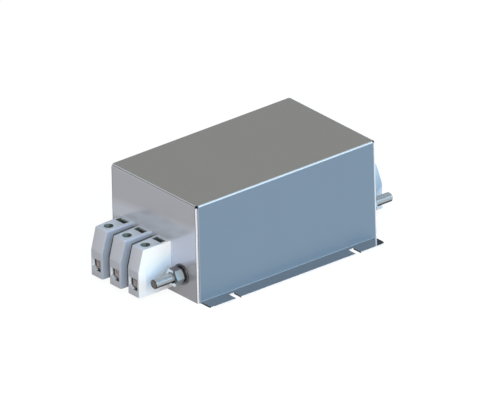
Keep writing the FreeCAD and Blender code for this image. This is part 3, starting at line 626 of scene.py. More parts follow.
def discard(target: bpy.types.Object) -> None:
    """Remove an object with its mesh.

    Args:
        target: Object that isn't needed any more.
    """
    data = target.data
    bpy.data.objects.remove(target)
    bpy.data.meshes.remove(data)


def combine(target: bpy.types.Object, operation: str, others: Sequence[bpy.types.Object]) -> None:
    """Join, cut or intersect an object with others, which are used up.

    Args:
        target: Object that is changed.
        operation: UNION, DIFFERENCE or INTERSECT.
        others: The other objects.
    """
    for other in others:
        change = target.modifiers.new(operation.lower(), "BOOLEAN")
        change.operation = operation
        change.solver = "EXACT"
        change.object = other
    bake(target)
    for other in others:
        discard(other)


def merge_objects(name: str, parts: Sequence[bpy.types.Object]) -> bpy.types.Object:
    """Gather several meshes in one object without changing them.

    Args:
        name: Name of the result.
        parts: Objects with the same material slots, which are used up.

    Returns:
        The object that holds them all.
    """
    whole = bmesh.new()
    materials = list(parts[0].data.materials)
    for part in parts:
        whole.from_mesh(part.data)
        discard(part)
    return Solid(whole).as_object(name, materials)


def shade(target: bpy.types.Object, angle: float = 32.0) -> None:
    """Smooth the shading, except over edges sharper than an angle.

    Args:
        target: Object that is shaded.
        angle: The angle in degrees.
    """
    data = target.data
    data.polygons.foreach_set("use_smooth", [True] * len(data.polygons))
    data.set_sharp_from_angle(angle=math.radians(angle))


def dress(piece: bpy.types.Object, node: str) -> None:
    """Hand a finished piece to the frame.

    Args:
        piece: The piece.
        node: CAD node that the piece stands for.
    """
    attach(piece, "root")
    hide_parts(node)
    log.info("%s: %d faces for %s", piece.name, len(piece.data.polygons), node)


def arc(centre: Point, radius: float, start: float, end: float, steps: int = 7) -> list[Point]:
    """Points on an arc, angles in degrees.

    Args:
        centre: Centre of the arc.
        radius: Radius of the arc.
        start: Angle of the first point.
        end: Angle of the last point.
        steps: Number of steps.

    Returns:
        The points in order.
    """
    points = []
    for step in range(steps + 1):
        angle = math.radians(start + (end - start) * step / steps)
        points.append((centre[0] + radius * math.cos(angle), centre[1] + radius * math.sin(angle)))
    return points


# The folded housing


@dataclass
class Housing:
    """Folded sheet: roof, walls with flanges, end flaps and returns."""

    sheet: float = 1.6 * MM
    fold: float = 1.6 * MM
    fold_steps: int = 10
    fold_start: float = 0.05
    # fold_line: range of upward tilt in a short fold that is painted as a shade line.
    fold_line: Point = (0.38, 0.72)
    flange_reach: float = 16.5 * MM
    flange_root: float = 0.5 * MM
    flange_corner: float = 4.8 * MM
    slot_place: float = 76.7 * MM
    slot_half: float = 3.25 * MM
    slot_web: float = 4.7 * MM
    slot_round: float = 1.6 * MM
    return_reach: float = 10.0 * MM
    relief_radius: float = 1.75 * MM
    relief_inset: float = 0.96 * MM
    end_break: float = 0.9 * MM
    end_turn: float = 0.95
    shade_line_width: float = 0.8 * MM
    hole_margin: float = 1.02
    roof_turn: float = 0.99
    cut_turn: float = 0.6
    rim_turn: float = 0.5

    def __post_init__(self) -> None:
        """Read the outer sizes from the frame."""
        low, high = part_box("housing")
        self.half_length = high.x
        self.half_width = high.y - self.flange_reach
        self.height = high.z
        self.wall_end = self.half_length - 2 * self.sheet

    def build(self) -> None:
        """Make the housing and dress it."""
        shell = self.walls()
        parts = [self.flange(hand) for hand in HANDS]
        for end in End:
            parts.append(self.flap(end))
            parts += [self.fold_back(end, hand) for hand in HANDS]
        combine(shell, "UNION", parts)
        combine(shell, "DIFFERENCE", [self.relief(end, hand) for end in End for hand in HANDS])
        for face in shell.data.polygons:
            face.material_index = self.part_at(face.center, face.normal).slot
        shade(shell)
        dress(shell, "housing")

    def walls(self) -> bpy.types.Object:
        """Roof with both walls down to the roots of the flanges.

        Returns:
            The folded sheet without flanges and flaps.
        """
        wide, high, sheet = self.half_width, self.height, self.sheet
        root = (wide + self.flange_root, sheet + self.flange_root)
        outer = [(wide + self.flange_root, sheet)]
        outer += arc(root, self.flange_root, 270, 180)[1:]
        outer += arc((wide - self.fold, high - self.fold), self.fold, 0, 90, self.fold_steps)
        inner = [(0.0, high - sheet), (wide - sheet, high - sheet)]
        inner += arc(root, self.flange_root + sheet, 180, 270)
        left = [(-y, z) for y, z in reversed(outer)]
        under_left = [(-y, z) for y, z in reversed(inner[1:])]
        outline = outer + [(0.0, high)] + left + under_left + inner
        points = [Vector((-self.wall_end, y, z)) for y, z in outline]
        solid = Solid.prism(points, Vector((2 * self.wall_end, 0, 0)))
        return solid.as_object("housing_folded", SheetPart.materials())

    def flange(self, hand: int) -> bpy.types.Object:
        """Flange of one wall with its two open slots.

        Args:
            hand: Sign of the wall's Y.

        Returns:
            The flat flange.
        """
        near = self.half_width + self.flange_root
        far = self.half_width + self.flange_reach
        corner, ease = self.flange_corner, self.slot_round
        bottom = self.half_width + self.slot_web + ease
        outline = [(-self.wall_end, near)]
        outline += arc((-self.wall_end + corner, far - corner), corner, 180, 90)
        for centre in (-self.slot_place, self.slot_place):
            left, right = centre - self.slot_half, centre + self.slot_half
            outline.append((left, far))
            outline += arc((left + ease, bottom), ease, 180, 270)
            outline += arc((right - ease, bottom), ease, 270, 360)
            outline.append((right, far))
        outline += arc((self.wall_end - corner, far - corner), corner, 90, 0)
        outline.append((self.wall_end, near))
        solid = Solid.prism([Vector((x, hand * y, 0)) for x, y in outline], UP * self.sheet)
        solid.round_over(self.end_edges(solid), self.end_break, 1)
        return solid.as_object("flange", SheetPart.materials())

    def end_edges(self, solid: Solid) -> list[bmesh.types.BMEdge]:
        """Upper edges of a flange around its two ends.

        Args:
            solid: The flange.

        Returns:
            The edges.
        """
        found = []
        for edge in solid.mesh.edges:
            first, second = (point.co for point in edge.verts)
            along = second - first
            upper = min(first.z, second.z) > self.sheet - NEAR
            at_end = min(abs(first.x), abs(second.x)) > self.wall_end - self.flange_corner - NEAR
            outward = abs(along.x) < self.end_turn * along.length
            if upper and at_end and outward:
                found.append(edge)
        return found

    def flap(self, end: End) -> bpy.types.Object:
        """End flap folded down from the roof.

        Args:
            end: Which end.

        Returns:
            The flap, divided beside its cut edges.
        """
        far, high, sheet = self.half_length, self.height, self.sheet
        outline = [(far, 0.0)]
        outline += arc((far - self.fold, high - self.fold), self.fold, 0, 90, self.fold_steps)
        outline += [(self.wall_end, high), (self.wall_end, high - sheet), (far - sheet, high - sheet)]
        outline.append((far - sheet, 0.0))
        half = self.half_width - sheet
        points = [Vector((end.value * x, -half, z)) for x, z in outline]
        solid = Solid.prism(points, Vector((0, 2 * half, 0)))
        # Divide the flap so that a strip beside each cut edge can be painted as a shade line.
        for hand in HANDS:
            solid.divide(Vector((0, hand * (half - self.shade_line_width), 0)), Vector((0, 1, 0)))
        return solid.as_object("flap", SheetPart.materials())

    def fold_back(self, end: End, hand: int) -> bpy.types.Object:
        """Strip of a wall folded back behind the end flap.

        Args:
            end: Which end.
            hand: Sign of the wall's Y.

        Returns:
            The strip.
        """
        far, wide = self.half_length - self.sheet, self.half_width
        edge = wide - self.sheet - self.return_reach
        outline = [(self.wall_end, wide)]
        outline += arc((far - self.fold, wide - self.fold), self.fold, 90, 0, self.fold_steps)
        outline += [(far, edge), (self.wall_end, edge)]
        points = [Vector((end.value * x, hand * y, 0)) for x, y in outline]
        solid = Solid.prism(points, UP * (self.height - self.sheet))
        return solid.as_object("fold_back", SheetPart.materials())

    def corner(self, side: float, hand: float) -> Vector:
        """Place where three folds meet.

        Args:
            side: Sign of its X.
            hand: Sign of its Y.

        Returns:
            The place.
        """
        inset = self.relief_inset
        length, width = self.half_length - inset, self.half_width - inset
        return Vector((side * length, hand * width, self.height - inset))

    def relief(self, end: End, hand: int) -> bpy.types.Object:
        """Ball that bites the small hole where three folds meet.

        Args:
            end: Which end.
            hand: Sign of the wall's Y.

        Returns:
            The ball.
        """
        mesh = bmesh.new()
        bmesh.ops.create_icosphere(mesh, subdivisions=3, radius=self.relief_radius)
        bmesh.ops.translate(mesh, verts=mesh.verts[:], vec=self.corner(end.value, hand))
        return Solid(mesh).as_object("relief")

    def part_at(self, centre: Vector, normal: Vector) -> SheetPart:
        """Part of the sheet that a face belongs to.

        Args:
            centre: Middle of the face.
            normal: Direction of the face.

        Returns:
            The part.
        """
        near = 2 * NEAR
        corner = self.corner(math.copysign(1, centre.x), math.copysign(1, centre.y))
        across, along = abs(centre.y), abs(centre.x)
        if (centre - corner).length < self.relief_radius * self.hole_margin:
            return SheetPart.HOLE
        if across > self.half_width + self.flange_root:
            return self.flange_part(normal)
        # The fillet at the root of a flange is painted lighter as a highlight.
        if across > self.half_width + near:
            return SheetPart.FOOT
        if along > self.half_length - self.sheet - near:
            return self.flap_part(across, normal)
        if normal.z > self.roof_turn and centre.z > self.height - near:
            return SheetPart.ROOF
        if along > self.wall_end + near:
            return self.rim_part(normal)
        # The rounded long fold is painted bright as a highlight.
        if min(abs(normal.y), normal.z) > self.fold_start and centre.z > self.height - self.fold:
            return SheetPart.LONG_FOLD
        return SheetPart.WALL if across > self.half_width - self.sheet - near else SheetPart.ROOF

    def flange_part(self, normal: Vector) -> SheetPart:
        """Part of a face on a flange.

        Args:
            normal: Direction of the face.

        Returns:
            The part.
        """
        if abs(normal.z) > SQUARE:
            return SheetPart.FLANGE
        # Edges of the flange that face across the box are painted bright as highlights, those facing along it
        # near black as shade.
        return SheetPart.CUT if abs(normal.y) > self.cut_turn else SheetPart.TIP

    def flap_part(self, across: float, normal: Vector) -> SheetPart:
        """Part of a face on an end flap or its folds.

        Args:
            across: Distance from the middle of the box.
            normal: Direction of the face.

        Returns:
            The part.
        """
        if abs(normal.y) > SQUARE:
            return SheetPart.CUT
        # A strip of the flap beside each cut edge is painted dark as shade.
        if abs(normal.x) > SQUARE and across > self.half_width - self.sheet - self.shade_line_width:
            return SheetPart.SHADE_LINE
        if normal.z <= self.fold_start:
            return SheetPart.FLAP
        # The middle of the short fold is painted dark as shade, its two sides bright as highlights.
        low, high = self.fold_line
        return SheetPart.SHADE_LINE if low <= normal.z <= high else SheetPart.SHORT_FOLD

    def rim_part(self, normal: Vector) -> SheetPart:
        """Part of a face on the rounded strip behind an end flap.

        Args:
            normal: Direction of the face.

        Returns:
            The part.
        """
        if normal.z > SQUARE:
            return SheetPart.SHORT_FOLD
        if abs(normal.x) > SQUARE:
            return SheetPart.CUT
        # Faces of the return turned towards the end of the box are painted as shade, the others lighter as a
        # highlight.
        return SheetPart.RIM if abs(normal.x) > self.rim_turn else SheetPart.FOOT


# Terminal blocks


@dataclass
class TerminalRow:
    """Three terminal blocks at one end, with the cover that closes the last."""

    end: End
    block_left: float = 9.7 * MM
    block_right: float = 10.7 * MM
    left_draft: float = 2.4 * MM
    right_draft: float = 0.8 * MM
    top_reach: float = 34.4 * MM
    knee_height: float = 32.0 * MM
    side_round: float = 2.5 * MM
    crease_round: float = 1.2 * MM
    edge_break: float = 0.25 * MM
    cover_thickness: float = 2.0 * MM
    driver_out: float = 24.0 * MM
    driver_radius: float = 5.0 * MM
    pocket_near: float = 3.0 * MM
    pocket_far: float = 10.0 * MM
    pocket_half: float = 6.7 * MM
    pocket_depth: float = 12.0 * MM
    pocket_lip: float = 2.0 * MM
    pocket_undercut: float = 0.4 * MM
    window_left: float = 5.6 * MM
    window_right: float = 7.1 * MM
    window_low: float = 11.2 * MM
    window_high: float = 23.5 * MM
    window_slope: Point = (6.0 * MM, 3.4 * MM)
    nose_wall: float = 3.0 * MM
    gap_top: Point = (4.0 * MM, 5.5 * MM)
    gap_front: float = 8.2 * MM
    cavity_half: float = 6.4 * MM
    cavity_floor: float = 10.7 * MM
    cavity_ceiling: float = 37.0 * MM
    near: float = 0.05 * MM
    break_angle: float = 50.0
    driver_turn: float = 0.75
    top_turn: float = 0.85
    flat_turn: float = 0.97
    side_turn: float = 0.6
    shoulder_turn: float = 0.3

    def __post_init__(self) -> None:
        """Read the reach and height of the blocks from the frame."""
        low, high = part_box(self.end.named("terminal_1"))
        self.root = low.x if self.end is End.LOAD else high.x
        self.nose_reach = high.x - low.x
        self.bottom = low.z
        self.top = high.z
        self.inner_reach = self.nose_reach - self.nose_wall
        self.pocket_floor = self.top - self.pocket_depth

    def out(self, distance: float) -> float:
        """X at a distance outward from the end flap."""
        return self.root + self.end.value * distance

    def centre(self, pole: int) -> float:
        """Y of a pole."""
        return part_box(self.end.named(f"terminal_{pole}"))[1].y - self.block_left

    def build(self) -> None:
        """Make and dress the blocks and the cover."""
        for pole in POLES:
            dress(self.block(pole), self.end.named(f"terminal_{pole}"))
        dress(self.cover(), self.end.named("end_cover"))

    def form(self, right: float, left: float, right_draft: float, left_draft: float) -> Solid:
        """Solid between two sides that draw together towards the nose.

        Args:
            right: Y of the right side at the flap.
            left: Y of the left side at the flap.
            right_draft: How far the right side leans in at the nose.
            left_draft: How far the left side leans in at the nose.

        Returns:
            The plain solid, creased at the top and at the knee.
        """
        outline = (
            (0.0, self.bottom), (0.0, self.top), (self.top_reach, self.top),
            (self.nose_reach, self.knee_height), (self.nose_reach, self.bottom),
        )
        points = [Vector((self.out(reach), right, up)) for reach, up in outline]
        solid = Solid.prism(points, Vector((0, left - right, 0)))
        middle = (left + right) / 2
        for point in solid.mesh.verts:
            share = abs(point.co.x - self.root) / self.nose_reach
            point.co.y += share * right_draft if point.co.y < middle else -share * left_draft
        bmesh.ops.recalc_face_normals(solid.mesh, faces=solid.mesh.faces[:])
        solid.round_over(self.creases(solid), self.crease_round, 4)
        return solid

    def creases(self, solid: Solid) -> list[bmesh.types.BMEdge]:
        """Edges that cross the front at the top and at the knee.

        Args:
            solid: The block or the cover.

        Returns:
            The edges.
        """
        found = []
        for edge in solid.mesh.edges:
            first, second = (point.co for point in edge.verts)
            across = abs(first.y - second.y) > CLEAR
            high = min(first.z, second.z) > self.bottom + CLEAR
            front = min(abs(first.x), abs(second.x)) > abs(self.root) + self.top_reach - CLEAR
            if across and high and front:
                found.append(edge)
        return found

    def right_edges(self, solid: Solid, right: float) -> list[bmesh.types.BMEdge]:
        """Edges around the right side, except where it meets the flap and at the bottom.

        Args:
            solid: The block.
            right: Y of the right side at the flap.

        Returns:
            The edges.
        """
        found = []
        near = 2 * self.near
        for edge in solid.mesh.edges:
            first, second = (point.co for point in edge.verts)
            on_right = max(first.y, second.y) < right + self.right_draft + near
            at_flap = max(abs(first.x - self.root), abs(second.x - self.root)) < near
            at_bottom = max(first.z, second.z) < self.bottom + near
            if on_right and not at_flap and not at_bottom:
                found.append(edge)
        return found

    def block(self, pole: int) -> bpy.types.Object:
        """One terminal block with its holes.

        Args:
            pole: 1 for the far pole, 3 for the one beside the stud.

        Returns:
            The finished block.
        """
        centre = self.centre(pole)
        covered = pole == POLES[-1]
        right = centre - self.block_right + (self.cover_thickness if covered else 0.0)
        draft = 0.0 if covered else self.right_draft
        solid = self.form(right, centre + self.block_left, draft, self.left_draft)
        if not covered:
            solid.round_over(self.right_edges(solid, right), self.side_round, 6)
            for point, normal in self.gap_planes():
                solid.divide(point, normal)
        piece = solid.as_object(self.end.named(f"block_{pole}"), BlockPart.materials())
        combine(piece, "DIFFERENCE", self.cutters(centre))
        bevel = piece.modifiers.new("edge_break", "BEVEL")
        bevel.width = self.edge_break
        bevel.segments = 2
        bevel.limit_method = "ANGLE"
        bevel.angle_limit = math.radians(self.break_angle)
        bevel.use_clamp_overlap = True
        bake(piece)
        for face in piece.data.polygons:
            place, normal = face.center, face.normal
            part = self.inner_part(place, normal, centre) or self.outer_part(place, normal)
            face.material_index = part.slot
        shade(piece)
        return piece

    def inner_part(self, place: Vector, normal: Vector, centre: float) -> BlockPart | None:
        """Part of a face inside one of a block's holes.

        Args:
            place: Middle of the face.
            normal: Direction of the face.
            centre: Y of the pole.

        Returns:
            The part, or nothing for a face outside the holes.
        """
        near = self.near
        out, side = abs(place.x - self.root), place.y - centre
        under = place.z < self.top - 2 * self.edge_break
        in_driver = math.hypot(out - self.driver_out, side) < self.driver_radius + near
        if in_driver and under and place.z > self.knee_height:
            return BlockPart.DRIVER if normal.y < -self.driver_turn else BlockPart.POCKET
        nearest = self.pocket_near - self.pocket_undercut - near
        in_pocket = nearest < out < self.pocket_far + near and abs(side) < self.pocket_half + near
        if in_pocket and under and place.z > self.pocket_floor - near:
            # The upper strip of the pocket's near wall is painted mid-dark as shade.
            on_lip = abs(out - self.pocket_near) < near and place.z > self.top - self.pocket_lip
            return BlockPart.LIP if on_lip else BlockPart.POCKET
        in_front = self.inner_reach + near < out < self.nose_reach - near
        # The window side that faces -Y is painted near white as light.
        if in_front and abs(side - self.window_left) < near and normal.y < -SQUARE:
            return BlockPart.WINDOW
        # The window sill is painted dark as shade.
        if in_front and abs(place.z - self.window_low) < near and normal.z > SQUARE:
            return BlockPart.POCKET
        in_cavity = near < out < self.inner_reach + near and abs(side) < self.cavity_half + near
        if in_cavity and self.cavity_floor - near < place.z < self.cavity_ceiling + near:
            return BlockPart.POCKET
        return None

    def outer_part(self, place: Vector, normal: Vector) -> BlockPart:
        """Part of a face on the outside of a block.

        Args:
            place: Middle of the face.
            normal: Direction of the face.

        Returns:
            The part.
        """
        # Tops, shoulders, sides and lower fronts get lit and shaded copies of the plastic, painted by the way
        # they face.
        if normal.z > self.top_turn:
            return BlockPart.TOP
        in_gap = all((place - point).dot(away) < 0 for point, away in self.gap_planes())
        if normal.y < -self.flat_turn and in_gap:
            return BlockPart.GAP
        if normal.y < -self.side_turn:
            return BlockPart.SHOULDER if normal.z > self.shoulder_turn else BlockPart.SIDE
        low_front = abs(normal.x) > self.flat_turn and place.z < self.knee_height
        return BlockPart.NOSE if low_front else BlockPart.BODY

    def gap_planes(self) -> list[tuple[Vector, Vector]]:
        """Planes that bound the shaded middle of a right side.

        Returns:
            A point and the outward normal of each plane.
        """
        side = self.end.value
        root_drop, front_drop = self.gap_top
        shoulder, nose = self.out(self.top_reach), self.out(self.nose_reach)
        corner = Vector((shoulder, 0, self.top - front_drop))
        along_top = corner - Vector((self.root, 0, self.top - root_drop))
        over = Vector((-side * along_top.z, 0, abs(along_top.x))).normalized()
        slant = Vector((side * (self.top - self.knee_height), 0, abs(nose - shoulder))).normalized()
        outward = Vector((side, 0, 0))
        knee = Vector((nose, 0, self.knee_height))
        return [
            (corner, over),
            (knee - slant * (self.gap_front + CLEAR), slant),
            (knee - outward * self.gap_front, outward),
        ]

    def cutters(self, centre: float) -> list[bpy.types.Object]:
        """Solids that open the driver hole, the pocket with its undercut, the window and the cavity.

        Args:
            centre: Y of the pole.

        Returns:
            The solids in the order in which they cut.
        """
        depth = CLEAR + self.top - self.cavity_ceiling
        driver = Solid.turned(
            [(0.0, 0.0), (0.0, self.driver_radius), (depth, self.driver_radius), (depth, 0.0)],
            Vector((self.out(self.driver_out), centre, self.cavity_ceiling)), UP, 48,
        )
        behind_lip = self.pocket_near - self.pocket_undercut
        pocket = (
            ((self.pocket_near, self.pocket_far), (self.pocket_floor, self.top + CLEAR)),
            ((behind_lip, self.pocket_far), (self.pocket_floor, self.top - self.pocket_lip)),
        )
        solids = [driver]
        solids += [self.opening(centre, self.pocket_half, reach, up) for reach, up in pocket]
        solids.append(self.window_cutter(centre))
        cavity = (self.cavity_floor, self.cavity_ceiling)
        solids.append(self.opening(centre, self.cavity_half, (-CLEAR, self.inner_reach), cavity))
        return [solid.as_object("cutter") for solid in solids]

    def opening(self, centre: float, half: float, reach: Point, up: Point) -> Solid:
        """Box that cuts as far to either side of a pole.

        Args:
            centre: Y of the pole.
            half: Half of the box's width.
            reach: Nearest and farthest distance from the end flap.
            up: Lowest and highest place.

        Returns:
            The box.
        """
        start, end = sorted(self.out(distance) for distance in reach)
        return Solid.block(Vector((start, centre - half, up[0])), Vector((end, centre + half, up[1])))

    def window_cutter(self, centre: float) -> Solid:
        """Solid that opens the window, one lower corner sloped.

        Args:
            centre: Y of the pole.

        Returns:
            The solid.
        """
        across, rise = self.window_slope
        left, right = self.window_left, -self.window_right
        outline = (
            (right, self.window_low), (left - across, self.window_low), (left, self.window_low + rise),
            (left, self.window_high), (right, self.window_high),
        )
        start = self.out(self.inner_reach - CLEAR)
        points = [Vector((start, centre + y, z)) for y, z in outline]
        return Solid.prism(points, Vector((self.end.value * (self.nose_wall + 2 * CLEAR), 0, 0)))

    def cover(self) -> bpy.types.Object:
        """Flat cover on the side of the last block.

        Returns:
            The finished cover.
        """
        right = self.centre(POLES[-1]) - self.block_right
        solid = self.form(right, right + self.cover_thickness, self.right_draft, 0.0)
        solid.soften(self.edge_break)
        piece = solid.as_object(self.end.named("cover"), [workshop.material(COVER_PLASTIC)])
        shade(piece)
        return piece


# Ground studs


@dataclass
class GroundPosts:
    """Stud, washers and nut at both ends."""

    pitch: float = 1.5 * MM
    rings_per_turn: int = 8
    thread_depth: float = 0.22 * MM
    chamfer: float = 0.65 * MM
    steps: int = 48
    washer_steps: int = 72
    stud_radius: float = 5.0 * MM
    core_radius: float = 4.6 * MM
    collar_thickness: float = 3.0 * MM
    sheet: float = 1.6 * MM
    nut_chamfer: float = 0.55 * MM
    nut_bore: float = 4.65 * MM
    nut_sink: float = 1.2 * MM
    shade_side: float = -2.5 * MM
    shade_low: float = -4.5 * MM
    face_share: float = 1.02
    underside_turn: float = 0.20
    washer_bore: float = 5.25 * MM
    split_half: float = 0.75 * MM
    edge_break: float = 0.2 * MM

    def __post_init__(self) -> None:
        """Read the places of the hardware from the frame."""
        low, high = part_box("line_ground_stud")
        self.tip = -low.x
        self.collar_inner = -high.x
        self.place = Vector((0, (low.y + high.y) / 2, (low.z + high.z) / 2))
        self.collar_radius = (high.z - low.z) / 2
        self.flap = self.collar_inner + self.collar_thickness + self.sheet
        self.nut_far, self.nut_half = self.measure("ground_nuts")
        self.spring_far, self.spring_radius = self.measure("ground_spring_washers")
        self.washer_far, self.washer_radius = self.measure("ground_washers")
        self.nut_corner = self.nut_half / math.cos(math.pi / 6)

    def measure(self, node: str) -> Point:
        """Farthest X and half the height of a node."""
        low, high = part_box(node)
        return high.x, (high.z - low.z) / 2

    def build(self) -> None:
        """Make and dress studs, washers, spring washers and nuts."""
        for end in End:
            dress(self.stud(end), end.named("ground_stud"))
        for name, maker, node in (
            ("flat_washers", self.washer, "ground_washers"),
            ("split_washers", self.spring, "ground_spring_washers"),
            ("hexagon_nuts", self.nut, "ground_nuts"),
        ):
            piece = merge_objects(name, [maker(end) for end in End])
            shade(piece)
            dress(piece, node)

    def axis(self, end: End) -> Vector:
        """Direction outward at one end."""
        return Vector((end.value, 0, 0))

    def stud(self, end: End) -> bpy.types.Object:
        """Stud with its welded collar and a rolled thread.

        Args:
            end: Which end.

        Returns:
            The finished stud.
        """
        axis = self.axis(end)
        start = self.nut_far - CLEAR
        last = self.tip - self.chamfer
        count = round((last - start) / self.pitch * self.rings_per_turn)
        profile = [(start, 0.0)]
        profile += [(start + (last - start) * step / count, self.stud_radius) for step in range(count + 1)]
        profile += [(self.tip, self.stud_radius - self.chamfer), (self.tip, 0.0)]
        solid = Solid.turned(profile, self.place, axis, self.steps)
        self.roll_thread(solid, axis, last)
        # Paint the tip face dark, and the tip's chamfer and the downward faces of the thread near black, as
        # shade.
        for face in solid.mesh.faces:
            face.normal_update()
            distance = (face.calc_center_median() - self.place).dot(axis)
            if distance > self.tip - NEAR:
                face.material_index = StudPart.TIP.slot
            elif distance > last or face.normal.z < -self.underside_turn:
                face.material_index = StudPart.PAINTED_SHADE.slot
        shank = solid.as_object("shank", StudPart.materials())
        outer = self.collar_inner + self.collar_thickness
        profile = [
            (self.collar_inner, 0.0), (self.collar_inner, self.collar_radius), (outer, self.collar_radius),
            (outer, self.core_radius), (start, self.core_radius), (start, 0.0),
        ]
        collar = Solid.turned(profile, self.place, axis, self.steps).as_object("collar", StudPart.materials())
        piece = merge_objects(end.named("stud"), [shank, collar])
        shade(piece, 40)
        return piece

    def roll_thread(self, solid: Solid, axis: Vector, last: float) -> None:
        """Press a helical thread into a plain shank.

        Args:
            solid: The shank.
            axis: Direction outward.
            last: Distance where the thread ends.
        """
        for point in solid.mesh.verts:
            away = point.co - self.place
            distance = away.dot(axis)
            across = away - axis * distance
            if across.length < 0.5 * self.stud_radius or distance > last + NEAR:
                continue
            turn = math.atan2(across.z, across.y) / math.tau
            wave = 0.5 + 0.5 * math.cos(math.tau * (distance / self.pitch - turn))
            point.co -= across.normalized() * self.thread_depth * (1 - wave)

    def ring(self, end: End, near: float, far: float, radius: float) -> Solid:
        """Turned ring with broken outer edges.

        Args:
            end: Which end.
            near: Distance of its inner side.
            far: Distance of its outer side.
            radius: Outer radius.

        Returns:
            The ring.
        """
        ease, bore = self.edge_break, self.washer_bore
        profile = [
            (near, bore), (near, radius - ease), (near + ease, radius),
            (far - ease, radius), (far, radius - ease), (far, bore), (near, bore),
        ]
        return Solid.turned(profile, self.place, self.axis(end), self.washer_steps)

    def washer(self, end: End) -> bpy.types.Object:
        """Flat washer against the end flap."""
        solid = self.ring(end, self.flap, self.washer_far, self.washer_radius)
        return solid.as_object("washer", [workshop.material(WASHER_STEEL)])

    def spring(self, end: End) -> bpy.types.Object:
        """Split spring washer.

        Args:
            end: Which end.

        Returns:
            The washer.
        """
        solid = self.ring(end, self.washer_far, self.spring_far, self.spring_radius)
        piece = solid.as_object("spring", [workshop.material(DARK_WASHER_AND_BORE_SHADE)])
        near, far = sorted((end.value * (self.washer_far - CLEAR), end.value * (self.spring_far + CLEAR)))
        middle = self.place
        gap = Solid.block(
            Vector((near, middle.y - self.split_half, middle.z)),
            Vector((far, middle.y + self.split_half, middle.z + 2 * self.spring_radius)),
        )
        combine(piece, "DIFFERENCE", [gap.as_object("split")])
        return piece

    def nut(self, end: End) -> bpy.types.Object:
        """Hexagon nut with turned chamfers, flats at top and bottom.

        Args:
            end: Which end.

        Returns:
            The nut.
        """
        axis = self.axis(end)
        low, high = self.spring_far, self.nut_far
        points = []
        for step in range(6):
            angle = math.tau * step / 6
            across = Vector((0, math.cos(angle), math.sin(angle))) * self.nut_corner
            points.append(self.place + axis * low + across)
        piece = Solid.prism(points, axis * (high - low)).as_object("nut", NutPart.materials())
        bore, ease, edge = self.nut_bore, self.nut_chamfer, self.nut_half * self.face_share
        profile = [
            (low, bore), (low, edge), (low + ease, self.nut_corner), (high - ease, self.nut_corner),
            (high, edge), (high, bore + self.nut_sink), (high - self.nut_sink, bore), (low, bore),
        ]
        envelope = Solid.turned(profile, self.place, axis, self.washer_steps)
        combine(piece, "INTERSECT", [envelope.as_object("envelope", NutPart.materials())])
        # Divide the nut so that a sector of its face can be painted dark as shade.
        mesh = bmesh.new()
        mesh.from_mesh(piece.data)
        cut = Solid(mesh)
        cut.divide(self.place + Vector((0, self.shade_side, 0)), Vector((0, 1, 0)))
        cut.divide(self.place + UP * self.shade_low, UP)
        mesh.to_mesh(piece.data)
        mesh.free()
        for face in piece.data.polygons:
            face.material_index = self.nut_part(face.center - self.place, face.normal).slot
        return piece

    def nut_part(self, away: Vector, normal: Vector) -> NutPart:
        """Part of a face on a nut.

        Args:
            away: Way from the middle of the studs to the face.
            normal: Direction of the face.

        Returns:
            The part.
        """
        if abs(normal.x) > SQUARE:
            # A sector of the face beside the stud is painted dark as shade, the rest bright as a reflection.
            shaded = away.y < self.shade_side and away.z > self.shade_low
            return NutPart.SHADE if shaded else NutPart.FACE
        # The countersunk bore is painted near black as shade.
        if math.hypot(away.y, away.z) < self.nut_bore + self.nut_sink:
            return NutPart.BORE
        # The top flat is painted dark as shade.
        return NutPart.TOP if normal.z > SQUARE else NutPart.FLAT


# Pieces that keep their CAD shapes


def numbered(stem: str, count: int = 3) -> list[str]:
    """Names of nodes that differ by a number."""
    return [f"{stem}_{number}" for number in range(1, count + 1)]


@dataclass(frozen=True)
class KeptNodes:
    """CAD nodes that stay, with a slot name that is not used, and the finish they get."""

    slot: str
    finish: Finish
    nodes: list[str]

    def build(self) -> None:
        """Give the nodes their procedural finish."""
        for node in self.nodes:
            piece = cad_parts[node]
            piece.data.materials.clear()
            piece.data.materials.append(workshop.material(self.finish))
            self.slot
        log.info("%s: %d nodes keep their shapes", self.finish.name, len(self.nodes))


KEPT_NODES = (
    KeptNodes("zinc_sheet", SheetPart.ROOF.value, ["base_plate"]),
    KeptNodes("screw_steel", BRIGHT_STEEL, [
        "base_screws", "clamp_screws", "board_standoffs", "board_screws", "link_screws",
    ]),
    KeptNodes("carrier_plastic", CARRIER_PLASTIC, ["bar_carrier", "core_saddle"]),
    KeptNodes("strap_steel", PLATE_STEEL, ["core_straps"]),
    KeptNodes("board_laminate", BOARD_GREEN, ["filter_board"]),
    KeptNodes("resistor_coat", RESISTOR_COAT, ["discharge_resistors"]),
    KeptNodes("copper", COPPER, ["ground_link", *numbered("phase_bar"), *numbered("phase_link")]),
    KeptNodes("core_ferrite", CORE_IRON, numbered("choke_core", 4)),
    KeptNodes("film_case", FILM_YELLOW, numbered("film_capacitor")),
    KeptNodes("ceramic_case", CASE_BLUE, numbered("ground_capacitor")),
    KeptNodes("plate_steel", PLATE_STEEL, [end.named("base_bracket") for end in End]),
    KeptNodes("insert_plastic", INSERT_PLASTIC, [end.named("lock_plate") for end in End]),
    *(KeptNodes("insert_plastic", INSERT_PLASTIC, numbered(end.named("insert"))) for end in End),
    *(KeptNodes("clamp_steel", CLAMP_STEEL, numbered(end.named("clamp"))) for end in End),
)


# Studio


